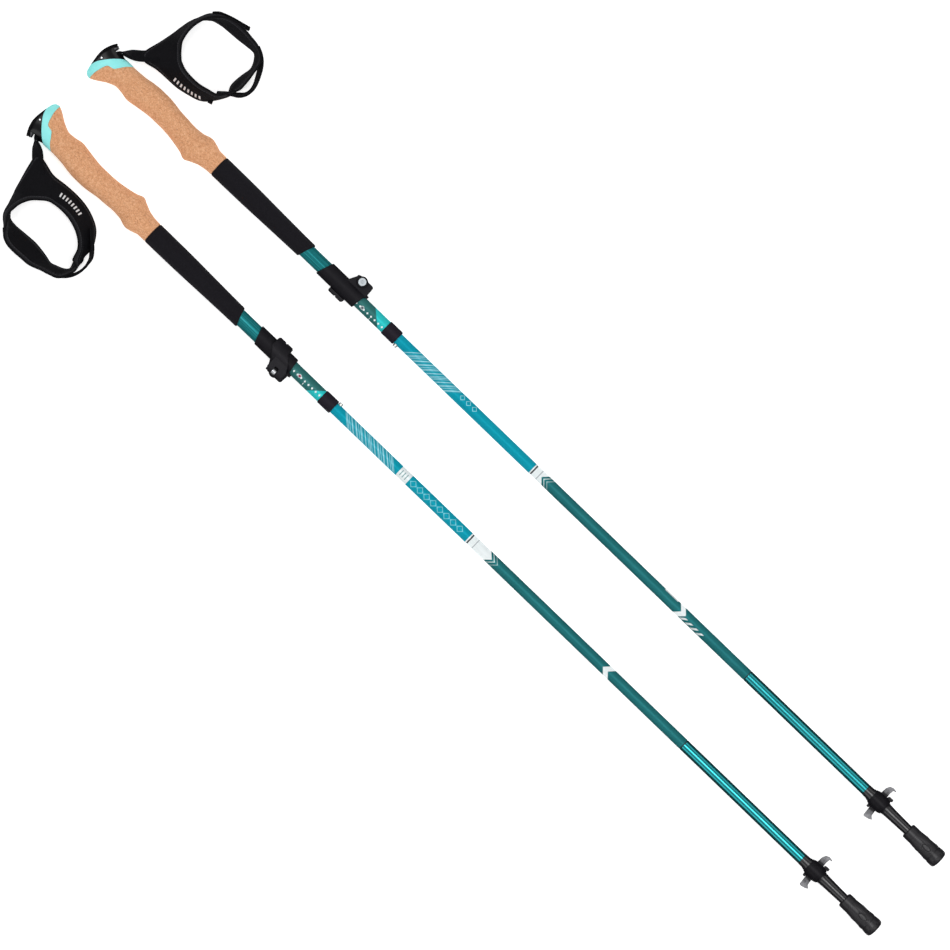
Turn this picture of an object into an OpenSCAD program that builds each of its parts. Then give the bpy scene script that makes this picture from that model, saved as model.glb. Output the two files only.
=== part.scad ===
// A pair of folding, length-adjustable trekking poles lying side by side.
// Each pole runs along +X: grip at -X, tip at +X. The left pole lies at -Y.
// The straps are on the outer sides, the beaks of the two grips face each other.
// Part frame: origin at the bottom centre of the pair, +Z up, millimetres.
//
// Pole frame, used by every sub-part module: x is the station along the pole
// axis (0 = just above the lever clamp), +y is the beak side, -y the strap
// side, +z the lever side of the clamp.

/* [Pair] */
// Distance between the two pole axes
pole_spacing = 94; // [88:1:140]
// Exposed length of the graduated tube on the left pole
left_extension = 42; // [38:1:100]
// Exposed length of the graduated tube on the right pole
right_extension = 38.5; // [38:0.5:100]
// How far the right pole lies towards the tips
right_shift = 1.5; // [0:0.5:5]

/* [Tubes] */
// Outside diameter of the upper tube
upper_d = 16; // [15.6:0.1:16.4]
// Outside diameter of the graduated tube
scale_d = 14; // [13.8:0.1:14.1]
// Outside diameter of the three folding shaft sections
shaft_d = 12; // [11.8:0.1:12.1]
// Bore of the shaft sections
shaft_bore = 10; // [9.9:0.1:10.4]
// Radial running clearance between tubes that slide in each other
slide_gap = 0.05; // [0.02:0.01:0.1]
// Radial gap of parts that are fixed in each other
seat_gap = 0.02; // [0.01:0.01:0.05]

/* [Grip] */
// Half thickness of the grip at its thickest
grip_half = 14.2; // [13:0.1:16]
// How far the trim ring stands proud of the grip
ring_proud = 0.3; // [0:0.1:0.6]
// Foam radius at the top
foam_r_top = 11.7; // [11:0.1:13]
// Foam radius at the bottom
foam_r_low = 9.8; // [9:0.1:11]

/* [Clamp] */
// Outside radius of the clamp sleeve
sleeve_r = 9.5; // [9.3:0.1:10]
// Clamp bolt diameter
bolt_d = 4; // [3.6:0.1:4.2]
// Lever pin diameter
lever_pin_d = 3; // [2.6:0.1:3.2]

/* [Strap] */
// Half width of the padded wrist band
band_half = 13; // [10:0.5:13.5]
// Half width of the webbing in the cap
web_half = 9; // [7:0.5:10]

/* [Tip] */
// Largest radius of the rubber boot
boot_r = 10; // [9:0.1:10.4]
// Reach of the basket arms from the pole axis
claw_reach = 20.4; // [17:0.1:22]

/* [Hidden] */
$fn = 48;

// stations along the pole axis, with the graduated tube at its nominal extension
nominal_ext = 42;
grip_top = -300;
tube_top = -268;
scale_start = -138;
grip_end = -135.6;
foam_end = -13.5;
upper_end = 52;
collar_x = 100;
scale_end = collar_x + 14;
seam_1 = 305;
seam_2 = 601.3;
tip_x = 766;
boot_x = 825;
boot_end = boot_x + 44;

// fits
joint_gap = 0.1; // along the axis, between parts that meet end to end
free_gap = 0.08; // radial, round loose pins, bolts and nuts
upper_seat_r = upper_d / 2 + seat_gap;
scale_slide_r = scale_d / 2 + slide_gap;
shaft_slide_r = shaft_d / 2 + slide_gap;
plug_r = shaft_bore / 2 - seat_gap;

// placement
centre_x = (grip_top + boot_end) / 2;
ring_drop = 0.045; // reach of the trim ring beyond grip_half
axis_z = grip_half + ring_drop;
// the wrist bands reach different distances, so the pair's middle is off the axes' middle
mid_y = 4.74;
left_y = -pole_spacing / 2 - mid_y;
right_y = pole_spacing / 2 - mid_y;

// ---------------------------------------------------------------- helpers

// cylinder along the pole axis
module rod(x_from, x_to, radius)
  translate([x_from, 0, 0]) rotate([0, 90, 0]) cylinder(h = x_to - x_from, r = radius);

// cylinder along z, at = [x, y]
module post(at, z_from, z_to, radius)
  translate([at[0], at[1], z_from]) cylinder(h = z_to - z_from, r = radius);

// cylinder along y, at station x
module side_rod(x, y_from, y_to, radius)
  translate([x, y_from, 0]) rotate([-90, 0, 0]) cylinder(h = y_to - y_from, r = radius);

// tube along the pole axis
module tube(x_from, x_to, radius, bore_r) difference() {
  rod(x_from, x_to, radius);
  rod(x_from - 1, x_to + 1, bore_r);
}

// solid of revolution about the pole axis from [radius, station] points
module turned(points) rotate([0, 90, 0]) rotate_extrude() polygon(points);

// prism along z from [x, y] points
module plate(points, z_from, z_to)
  translate([0, 0, z_from]) linear_extrude(height = z_to - z_from) polygon(points);

// closed Catmull-Rom curve through the points
function smooth_loop(points, steps = 4) = [
  for (i = [0 : len(points) - 1], j = [0 : steps - 1])
    let (
      count = len(points),
      before = points[(i + count - 1) % count],
      start = points[i],
      end = points[(i + 1) % count],
      after = points[(i + 2) % count],
      t = j / steps
    )
    0.5 * (2 * start + (end - before) * t
      + (2 * before - 5 * start + 4 * end - after) * t * t
      + (3 * start - before - 3 * end + after) * t * t * t)
];

function shifted(points, along) = [for (point = points) [point[0] + along, point[1]]];
function reversed(points) = [for (i = [len(points) - 1 : -1 : 0]) points[i]];
function signed_pow(value, power) = sign(value) * pow(abs(value), power);

// closed skin over rings that all have the same number of points
module skin(rings) {
  count = len(rings[0]);
  last = len(rings) - 1;
  polyhedron(
    points = [for (ring = rings, point = ring) point],
    faces = concat(
      [[for (i = [0 : count - 1]) i]],
      [for (j = [0 : last - 1], i = [0 : count - 1])
        [j * count + i, (j + 1) * count + i, (j + 1) * count + (i + 1) % count]],
      [for (j = [0 : last - 1], i = [0 : count - 1])
        [j * count + i, (j + 1) * count + (i + 1) % count, j * count + (i + 1) % count]],
      [[for (i = [count - 1 : -1 : 0]) last * count + i]]
    )
  );
}

// ---------------------------------------------------------------- grip form

// [station, reach of the grip on the beak side]
beak_side = [
  [-300, 3], [-299.4, 8], [-298.6, 13], [-297.6, 18], [-296.5, 22.4], [-293.8, 25.6],
  [-290, 26.5], [-285, 24.4], [-280, 21.3], [-273.8, 17.5], [-263.8, 14.1], [-257.5, 14.6],
  [-247.5, 16.3], [-240, 15.3], [-230, 13.8], [-217.5, 12.5], [-205, 12.5], [-195, 13.1],
  [-182.5, 15], [-173.8, 16.9], [-166, 19.6], [-160, 17], [-150, 13.1], [-140, 11.6],
  [-135.6, 11.5]
];
// [station, reach of the grip on the strap side]
strap_side = [
  [-300, 2], [-299.4, 5], [-298.4, 8.5], [-297, 12], [-295.5, 15], [-293.5, 17.8],
  [-290, 16.4], [-285.6, 15.2], [-276.3, 12], [-265.6, 12], [-250, 12.8], [-240, 14.4],
  [-230, 15.3], [-220, 15.3], [-210, 14.4], [-200, 12.9], [-190, 12.3], [-180, 11.6],
  [-170, 12.3], [-158.8, 15.2], [-150, 13.2], [-145, 11.6], [-135.6, 11.5]
];
// [station, half thickness as a share of grip_half]
thick_share = [
  [-300, 0.14], [-299.4, 0.42], [-298.4, 0.63], [-297, 0.8], [-294, 0.93], [-290, 0.985],
  [-280, 0.97], [-268, 0.93], [-258, 0.94], [-245, 0.985], [-230, 1], [-215, 0.95],
  [-203, 0.895], [-190, 0.88], [-178, 0.915], [-166, 0.985], [-158, 1], [-150, 0.91],
  [-143, 0.835], [-135.6, 0.81]
];
// [x, y] edge of the cap against the trim ring, beak side first
cap_edge = [
  [-303, 26], [-297.8, 16.9], [-295.6, 10.6], [-291.3, 3.8], [-285, -3.8], [-280, -8.8],
  [-276.3, -11.9], [-272, -16], [-270, -32]
];
// [x, y] edge of the trim ring against the cork, beak side first
ring_edge = [
  [-289.6, 34], [-289.4, 26], [-289, 20], [-287.5, 13.8], [-284.4, 5.6], [-282.8, 4.4],
  [-278.8, 3.8], [-275, 0], [-270, -7.5], [-265.6, -12.1], [-262.5, -17], [-262, -32]
];

// stations of the rings, closer together towards the top of the head
head_stations = concat(
  [for (i = [0 : 6]) grip_top + 12 * i * i / 36],
  [for (x = [-284 : 4 : -256]) x]
);
body_stations = concat([for (x = [-292 : 4.5 : -137]) x], [grip_end]);

ring_points = 32;
squareness = 0.92; // exponent of the cross-section; 1 is an ellipse, less is squarer

// superellipse through the two side reaches and the half thickness
function grip_ring(x, proud) =
  let (
    beak = lookup(x, beak_side) + proud,
    strap = lookup(x, strap_side) + proud,
    half = lookup(x, thick_share) * grip_half + proud
  )
  [for (i = [0 : ring_points - 1])
    let (angle = 360 * i / ring_points)
    [
      x,
      (beak - strap) / 2 + (beak + strap) / 2 * signed_pow(cos(angle), squareness),
      half * signed_pow(sin(angle), squareness)
    ]];

module grip_form(stations, proud = 0) skin([for (x = stations) grip_ring(x, proud)]);

// ---------------------------------------------------------------- grip parts

cut_half = 20; // half height of cuts right through the grip
stem_r = upper_d / 2 - 1;
stem_bore_r = stem_r + 0.1;
cap_pin_at = [-294, 3.4];
cap_pin_r = 1;
cap_pin_half = 11.6;

module cork_grip() color([0.84, 0.61, 0.43]) difference() {
  intersection() {
    grip_form(body_stations);
    plate(concat(shifted(ring_edge, joint_gap), [[-130, -32], [-130, 34]]), -cut_half, cut_half);
  }
  rod(tube_top - joint_gap, grip_end + 1, upper_seat_r);
  rod(grip_top, tube_top, stem_bore_r);
}

module trim_ring() color([0.55, 0.94, 0.92]) difference() {
  intersection() {
    grip_form(head_stations, ring_proud);
    plate(concat(shifted(cap_edge, joint_gap), reversed(ring_edge)), -cut_half, cut_half);
  }
  rod(grip_top, -255, stem_bore_r);
}

// [x, y] outline of the strap pocket in the cap
pocket = [
  [-280.9, -20], [-287, -20], [-296, -9], [-297.05, 1.6], [-294.6, 6.8], [-291.4, 5.3],
  [-284.4, -9]
];
pocket_half = web_half + 0.8;

// cap with its stem, strap pocket, pin hole and a small notch in the strap-side lip
module top_cap() color([0.11, 0.1, 0.12]) difference() {
  union() {
    intersection() {
      grip_form(head_stations);
      plate(concat(cap_edge, [[-310, -32], [-310, 26]]), -cut_half, cut_half);
    }
    rod(-290, -250, stem_r);
  }
  plate(pocket, -pocket_half, pocket_half);
  post(cap_pin_at, -cut_half, cut_half, cap_pin_r + seat_gap);
  post([-291.6, -18], -cut_half, cut_half, 1.5);
}

module cap_pin() color([0.8, 0.8, 0.82])
  post(cap_pin_at, -cap_pin_half, cap_pin_half, cap_pin_r);

// [x, y] outline of the wedge
wedge = [[-289.3, -15.6], [-294.8, -9], [-295.6, -1.2], [-294, -1.6], [-291, -8]];

// wedge that locks the webbing against the pocket wall
module strap_wedge() color([0.2, 0.2, 0.22]) plate(wedge, -web_half, web_half);

// [x, y] outline of the webbing, out of the slot and round to the wrist band
webbing = [
  [-293.4, 1.4], [-291.9, 3.1], [-285.4, -9.6], [-282, -15.6], [-267.6, -22.2], [-274, -28.6],
  [-286, -16.8], [-289.5, -9.6]
];
web_loop_r = 1.8;

// doubled webbing with a loop end round the cap pin
module strap_webbing() color([0.1, 0.1, 0.11]) difference() {
  union() {
    post(cap_pin_at, -web_half, web_half, web_loop_r);
    plate(webbing, -web_half, web_half);
  }
  post(cap_pin_at, -cut_half, cut_half, cap_pin_r + free_gap);
}

// [x, y] outlines of the wrist bands and of their hand openings
left_band = [
  [-272.8, -30.4], [-268, -51.1], [-262.9, -74.7], [-254.3, -91.6], [-242.5, -103.8],
  [-228.9, -109.1], [-203.1, -107.9], [-186.8, -103.9], [-172.1, -98.2], [-163.6, -91.4],
  [-159.7, -72.7], [-163.2, -56], [-178.3, -38.6], [-190.6, -30.1], [-204.2, -26.5],
  [-223, -24.5], [-237.6, -26.7], [-251.3, -27.4], [-265.4, -23.2]
];
left_hole = [
  [-249.9, -87.3], [-250.5, -74.4], [-245.9, -61.7], [-232.8, -49.1], [-219.1, -45.9],
  [-201.2, -48.8], [-186.7, -55], [-178.3, -63.8], [-171.9, -82], [-177, -91],
  [-189.1, -92.8], [-204.5, -90], [-220, -90.4], [-236, -91.4]
];
right_band = [
  [-270.5, -28.3], [-266.3, -42], [-264, -56.5], [-261.7, -73.5], [-255.9, -90.7],
  [-247.1, -103.4], [-239.9, -111.7], [-222.1, -117.4], [-208, -118.6], [-190.6, -114.1],
  [-178.5, -108.4], [-170.1, -99.1], [-162.9, -85], [-162, -69.8], [-168.9, -60],
  [-184.1, -45.1], [-206, -30.4], [-221.1, -25.8], [-240.7, -26.7], [-251.6, -25.3],
  [-264.2, -21.7]
];
right_hole = [
  [-243.4, -99.6], [-249.7, -86.8], [-250.3, -73.3], [-247.5, -62.4], [-235.4, -49.2],
  [-224.5, -44.8], [-208.1, -44.4], [-192.2, -48.5], [-179, -58], [-175.5, -72],
  [-178, -90.8], [-185.9, -101], [-196, -104.6], [-224.4, -104.2]
];
// middle of the closure tab on each band
left_tab_y = -99;
right_tab_y = -110;

module strap_band(outer, hole) color([0.12, 0.12, 0.13]) difference() {
  plate(smooth_loop(outer), -band_half, band_half);
  plate(smooth_loop(hole), -band_half - 1, band_half + 1);
}

// pointed tab lying on the outer arm of the band, on the +z (side = 1) or -z (side = -1) face
module strap_tab(side, y) color([0.16, 0.16, 0.17]) {
  thick = 1;
  half = 4.5;
  near = band_half + 0.1;
  z_from = side > 0 ? near : -near - thick;
  plate([[-226, y - half], [-196, y - half], [-193, y], [-196, y + half], [-226, y + half]],
    z_from, z_from + thick);
}

module foam_grip() color([0.1, 0.1, 0.11]) difference() {
  turned([
    [upper_seat_r, grip_end + 0.2], [foam_r_top - 1, grip_end + 0.2],
    [foam_r_top, grip_end + 1.4], [foam_r_top - 0.2, -100], [foam_r_low + 0.6, -50],
    [foam_r_low, foam_end - 4], [foam_r_low, foam_end + 5], [upper_seat_r, foam_end + 5]
  ]);
  // the lower end is cut on a slant, longer on the strap side
  plate([[foam_end - 3.8, 12], [foam_end + 3.8, -12], [foam_end + 10, -12], [foam_end + 10, 12]],
    -14, 14);
}

// ---------------------------------------------------------------- upper tube and clamp

bolt_x = 48.6;
bolt_y = -16;
bolt_at = [bolt_x, bolt_y];
bolt_low_z = -8.9;
eye_r = 3.1;
eye_width = 4.2;
pin_z = 9.5; // height of the lever pin
cam_r = 3.3;
cam_off = 0.6; // how far the cam centre lies below the pin
ear_low = -6.2;
ear_top = pin_z - cam_r - cam_off - 0.05;
nut_head_r = 4;
nut_shank_r = 2.8;
lever_end = 58.9;
lever_r = 12.9;
lever_bore_r = sleeve_r + 0.35;

// [x, y] outlines
sleeve_outline = [[7.9, 11], [15.2, -11], [60, -11], [60, -4], [57.6, 11]];
ear_outline = [
  [34.6, -6], [36.8, -9.6], [41.6, -18.9], [43, -19.9], [59, -19.9], [60.4, -18.6], [61.2, -6]
];
lever_outline = [
  [40, -22], [lever_end, -22], [lever_end, -9], [54, -1], [47.4, 6], [47, 14], [28.6, 14],
  [28.6, 3], [38.4, -9.6]
];

module upper_tube() color([0.1, 0.42, 0.44]) difference() {
  tube(tube_top, upper_end, upper_d / 2, scale_slide_r);
  // slit in the strap side, open at the lower end
  translate([22, -12, -0.6]) cube([31, 8, 1.2]);
}

module clamp_body() color([0.11, 0.1, 0.12]) difference() {
  union() {
    // sleeve with slanted ends
    intersection() {
      rod(6, 62, sleeve_r);
      plate(sleeve_outline, -12, 12);
    }
    // the two ears on the strap side, parted by the slit below
    plate(ear_outline, ear_low, ear_top);
    // boss round the adjusting nut
    post(bolt_at, -10.2, -4.2, 5.7);
    // lug at the lower end
    translate([58, -9.7, -3]) cube([5.4, 4, 6]);
  }
  // seat of the upper tube, then the narrower bore for the graduated tube
  rod(0, upper_end + joint_gap, upper_seat_r);
  rod(50, 70, scale_slide_r);
  // slit between the ears
  translate([26, -24, -0.7]) cube([40, 20, 1.4]);
  // bolt hole, recesses of the nut's head and shank
  post(bolt_at, -20, 20, bolt_d / 2 + free_gap);
  post(bolt_at, -12, -8.4, nut_head_r + free_gap);
  post(bolt_at, -12, -3.4, nut_shank_r + free_gap);
}

module clamp_lever() color([0.13, 0.12, 0.14]) difference() {
  union() {
    // curved plate round the sleeve, cut to a slanted outline
    intersection() {
      union() {
        difference() {
          rod(28, 60.2, lever_r);
          rod(20, 70, lever_bore_r);
          // open below, and low on the strap side
          translate([20, -20, -20]) cube([50, 40, 17.2]);
          translate([20, -40, -25]) cube([50, 40, 31.6]);
        }
        // arms from the plate to the cams
        difference() {
          translate([39.4, bolt_y, 6.8]) cube([19.6, 13, 5.6]);
          rod(20, 70, lever_bore_r);
        }
      }
      plate(lever_outline, -10, 20);
    }
    // cams
    translate([0, bolt_y, pin_z - cam_off]) rod(40, lever_end, cam_r);
    // finger ridges on the free end
    for (x = [29.4, 38.6]) translate([0, 12.4, -1.2]) rod(x, x + 7.6, 1.5);
  }
  translate([0, bolt_y, pin_z]) rod(30, 70, lever_pin_d / 2 + 0.04);
  // fork for the bolt eye
  fork_width = eye_width + 0.4;
  translate([bolt_x - fork_width / 2, -23, 0]) cube([fork_width, 12.2, 20]);
}

module lever_pin() color([0.78, 0.79, 0.81])
  translate([0, bolt_y, pin_z]) rod(40.8, 58.1, lever_pin_d / 2);

// eye bolt: the eye holds the lever pin, the shank runs down through the ears
module clamp_bolt() color([0.75, 0.76, 0.78]) difference() {
  union() {
    post(bolt_at, bolt_low_z, pin_z, bolt_d / 2);
    translate([0, bolt_y, pin_z]) rod(bolt_x - eye_width / 2, bolt_x + eye_width / 2, eye_r);
  }
  translate([0, bolt_y, pin_z]) rod(bolt_x - 5, bolt_x + 5, lever_pin_d / 2 + seat_gap);
}

// adjusting nut with a hex socket
module adjust_nut() color([0.86, 0.88, 0.88]) difference() {
  union() {
    post(bolt_at, -11.4, -8.5, nut_head_r);
    post(bolt_at, -9, -3.6, nut_shank_r);
  }
  post(bolt_at, -9, -1, bolt_d / 2 + 0.03);
  post(bolt_at, -12.4, -9.4, 1.8, $fn = 6);
}

// ---------------------------------------------------------------- shaft

button_x = collar_x + 19.2;
button_r = 2.2;
clip_x = collar_x + 40;
ring_1_length = 1.4; // the plug rings that show in the two seams
ring_2_length = 0.9;
plug_ring_r = 5.7;
plug_bore_r = 1.8;
cord_r = 1.25;
cord_bore_r = 1.5;
ferrule_r = 2.6;
cord_end = 654;

module scale_tube() color([0.12, 0.5, 0.52])
  tube(scale_start, scale_end, scale_d / 2, shaft_slide_r);

module tube_collar() color([0.1, 0.1, 0.11]) difference() {
  turned([
    [shaft_slide_r, collar_x], [7.3, collar_x], [7.8, collar_x + 0.5], [7.8, collar_x + 15.6],
    [7, collar_x + 16.5], [shaft_slide_r, collar_x + 16.5]
  ]);
  rod(collar_x - 1, scale_end + joint_gap, scale_d / 2 + seat_gap);
}

// plug that holds the upper end of the cord in the graduated tube
module cord_anchor() color([0.25, 0.25, 0.27]) difference() {
  rod(-137.5, -129, shaft_slide_r - 0.02);
  rod(-140, -120, cord_bore_r);
  // recess of the ferrule
  rod(-138, -134, 3.2);
}

module shaft_tube(x_from, x_to) tube(x_from, x_to, shaft_d / 2, shaft_bore / 2);

module tube_section_1() color([0.02, 0.58, 0.7]) difference() {
  shaft_tube(62, seam_1);
  side_rod(button_x, 0, 10, button_r + 0.1);
}

// sprung button: stepped head, leaf and the half-ring clip that holds it in the tube
module snap_button() color([0.78, 0.76, 0.72]) union() {
  side_rod(button_x, 3.9, 7.9, button_r);
  side_rod(button_x, 7.9, 8.7, 1.7);
  translate([button_x - 2, 3.6, -2]) cube([26, 0.5, 4]);
  difference() {
    tube(clip_x, clip_x + 8, shaft_bore / 2 - 0.1, shaft_bore / 2 - 1.4);
    translate([clip_x - 1, -8, -8]) cube([10, 8, 16]);
  }
}

// guide plug: hollow cone that finds the bore above, a ring in the seam, a spigot fixed below
module section_plug(seam, cone_length, cone_tip_r, ring_length, spigot_length) difference() {
  cone_base = seam + joint_gap;
  ring_end = seam + ring_length;
  spigot_end = seam + spigot_length;
  turned([
    [plug_bore_r, cone_base - cone_length], [cone_tip_r, cone_base - cone_length],
    [4.7, cone_base], [plug_ring_r, cone_base], [plug_ring_r, ring_end], [plug_r, ring_end],
    [plug_r, spigot_end], [plug_bore_r, spigot_end]
  ]);
  rod(seam - 40, seam + 60, plug_bore_r);
}

module section_plug_1() color([0.14, 0.14, 0.15])
  section_plug(seam_1, 9, 2.7, ring_1_length, 24);

module tube_section_2() color([0.18, 0.39, 0.41])
  shaft_tube(seam_1 + ring_1_length + joint_gap, seam_2);

module section_plug_2() color([0.14, 0.14, 0.15])
  section_plug(seam_2, 7, 2.5, ring_2_length, 22);

module tube_section_3() color([0.08, 0.45, 0.46])
  shaft_tube(seam_2 + ring_2_length + joint_gap, tip_x);

// tension cord with a ferrule at each end
module tension_cord() color([0.75, 0.2, 0.15]) union() {
  rod(-135.5, cord_end, cord_r);
  rod(-137, -134.6, ferrule_r);
  rod(cord_end - 3.5, cord_end, ferrule_r);
}

module cord_stop() color([0.25, 0.25, 0.27]) difference() {
  rod(642, 650, plug_r);
  rod(640, 660, cord_bore_r);
}

// ---------------------------------------------------------------- tip

shank_r = 7;
hub_bore_r = shank_r + seat_gap;
carbide_r = 2;

module tip_shank() color([0.12, 0.12, 0.13]) difference() {
  turned([
    [0, 738], [plug_r, 738], [plug_r, tip_x + joint_gap], [6.1, tip_x + joint_gap],
    [6.3, tip_x + 6], [shank_r, tip_x + 8], [shank_r, tip_x + 26], [6.4, tip_x + 28.5],
    [6, tip_x + 34], [5.2, boot_x + 4], [5, boot_x + 18], [3.6, boot_x + 25],
    [3.6, boot_x + 27], [0, boot_x + 27]
  ]);
  // socket of the carbide tip
  rod(boot_x + 20, boot_x + 30, carbide_r + seat_gap);
}

// [x, y] outlines of the basket's two arms and two small tabs
beak_arm = [
  [779.8, 8.4], [780.2, 15], [782, claw_reach - 1.6], [785.4, claw_reach],
  [789.6, claw_reach - 0.8], [789.3, claw_reach - 2], [787, claw_reach - 2], [786.4, 14],
  [786.8, 8.4]
];
strap_arm = [
  [781, -8.4], [782.2, -claw_reach + 0.6], [783.4, -claw_reach], [788, -claw_reach + 1],
  [791.4, -17.6], [788.4, -14.8], [787.4, -8.4]
];
beak_tab = [[787, 8], [788.6, 11.4], [793.6, 11.6], [794, 9], [792, 8]];
strap_side_tab = [[777.6, -7.6], [777.8, -11.2], [780, -11.4], [781.4, -8]];
arm_half = 3.2;

// basket: bulging hub, two arms that hook towards the tip, two small tabs
module claw_basket() color([0.35, 0.35, 0.37]) union() {
  difference() {
    turned([
      [hub_bore_r, 775], [7.4, 775], [8.6, 778], [9.1, 782], [9.1, 788], [8.6, 790.5],
      [7.6, 793], [hub_bore_r, 793]
    ]);
    rod(770, 800, hub_bore_r);
  }
  plate(beak_arm, -arm_half, arm_half);
  plate(strap_arm, -arm_half, arm_half);
  plate(beak_tab, -2.4, 2.4);
  plate(strap_side_tab, -1.8, 1.8);
}

module carbide_tip() color([0.6, 0.61, 0.63])
  turned([
    [0, boot_x + 20.1], [carbide_r, boot_x + 20.1], [carbide_r, boot_x + 30],
    [2.4, boot_x + 31], [1.4, boot_x + 33.5], [0, boot_x + 33]
  ]);

// rubber boot: cuff, flared foot with a rounded flat-centred sole, blind socket
module rubber_boot() color([0.24, 0.24, 0.23]) difference() {
  turned([
    [0, boot_x], [7.2, boot_x], [7.8, boot_x + 1], [7.9, boot_x + 8], [8.4, boot_x + 16],
    [9.3, boot_x + 26], [boot_r - 0.12, boot_x + 34], [boot_r, boot_x + 39.2],
    [boot_r - 0.4, boot_x + 40.9], [boot_r - 1.9, boot_x + 42.7], [boot_r - 5, boot_end],
    [0, boot_end]
  ]);
  turned([
    [0, boot_x - 1], [5.6, boot_x - 1], [5.32, boot_x + 4.2], [5.12, boot_x + 18.2],
    [3.72, boot_x + 25.4], [3.7, boot_x + 28], [2.6, boot_x + 30], [2.6, boot_x + 34.5],
    [0, boot_x + 34.5]
  ]);
}

// ---------------------------------------------------------------- placement

// upper part of a pole: grip, upper tube, clamp; the right pole is turned over
module left_top() translate([-centre_x, left_y, axis_z]) children();
module right_top()
  translate([-centre_x + right_shift, right_y, axis_z]) rotate([180, 0, 0]) children();
// everything that hangs on the graduated tube moves with its extension
module left_low() left_top() translate([left_extension - nominal_ext, 0, 0]) children();
module right_low() right_top() translate([right_extension - nominal_ext, 0, 0]) children();

left_top() cork_grip();  // left_cork_grip
left_top() trim_ring();  // left_trim_ring
left_top() top_cap();  // left_top_cap
left_top() cap_pin();  // left_cap_pin
left_top() strap_wedge();  // left_strap_wedge
left_top() strap_webbing();  // left_strap_webbing
left_top() strap_band(left_band, left_hole);  // left_strap_band
left_top() strap_tab(1, left_tab_y);  // left_strap_tab
left_top() foam_grip();  // left_foam_grip
left_top() upper_tube();  // left_upper_tube
left_top() clamp_body();  // left_clamp_body
left_top() clamp_lever();  // left_clamp_lever
left_top() lever_pin();  // left_lever_pin
left_top() clamp_bolt();  // left_clamp_bolt
left_top() adjust_nut();  // left_adjust_nut
left_low() scale_tube();  // left_scale_tube
left_low() tube_collar();  // left_tube_collar
left_low() cord_anchor();  // left_cord_anchor
left_low() tube_section_1();  // left_tube_section_1
left_low() snap_button();  // left_snap_button
left_low() section_plug_1();  // left_section_plug_1
left_low() tube_section_2();  // left_tube_section_2
left_low() section_plug_2();  // left_section_plug_2
left_low() tube_section_3();  // left_tube_section_3
left_low() tension_cord();  // left_tension_cord
left_low() cord_stop();  // left_cord_stop
left_low() tip_shank();  // left_tip_shank
left_low() claw_basket();  // left_claw_basket
left_low() carbide_tip();  // left_carbide_tip
left_low() rubber_boot();  // left_rubber_boot

right_top() cork_grip();  // right_cork_grip
right_top() trim_ring();  // right_trim_ring
right_top() top_cap();  // right_top_cap
right_top() cap_pin();  // right_cap_pin
right_top() strap_wedge();  // right_strap_wedge
right_top() strap_webbing();  // right_strap_webbing
right_top() strap_band(right_band, right_hole);  // right_strap_band
right_top() strap_tab(-1, right_tab_y);  // right_strap_tab
right_top() foam_grip();  // right_foam_grip
right_top() upper_tube();  // right_upper_tube
right_top() clamp_body();  // right_clamp_body
right_top() clamp_lever();  // right_clamp_lever
right_top() lever_pin();  // right_lever_pin
right_top() clamp_bolt();  // right_clamp_bolt
right_top() adjust_nut();  // right_adjust_nut
right_low() scale_tube();  // right_scale_tube
right_low() tube_collar();  // right_tube_collar
right_low() cord_anchor();  // right_cord_anchor
right_low() tube_section_1();  // right_tube_section_1
right_low() snap_button();  // right_snap_button
right_low() section_plug_1();  // right_section_plug_1
right_low() tube_section_2();  // right_tube_section_2
right_low() section_plug_2();  // right_section_plug_2
right_low() tube_section_3();  // right_tube_section_3
right_low() tension_cord();  // right_tension_cord
right_low() cord_stop();  // right_cord_stop
right_low() tip_shank();  // right_tip_shank
right_low() rotate([180, 0, 0]) claw_basket();  // right_claw_basket
right_low() carbide_tip();  // right_carbide_tip
right_low() rubber_boot();  // right_rubber_boot
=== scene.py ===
"""A pair of folding trekking poles with cork grips, lying side by side along X.

In the row frame (metres) the poles run along X, Z is up, and the right pole is turned half a turn
about its axis. Each pole also has local millimetres: the station along it (rising towards the
tip), y to the beak side of the grip and z to the lever side.
"""
import bpy, bmesh, math
import numpy as np
from mathutils import Vector, Matrix


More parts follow.
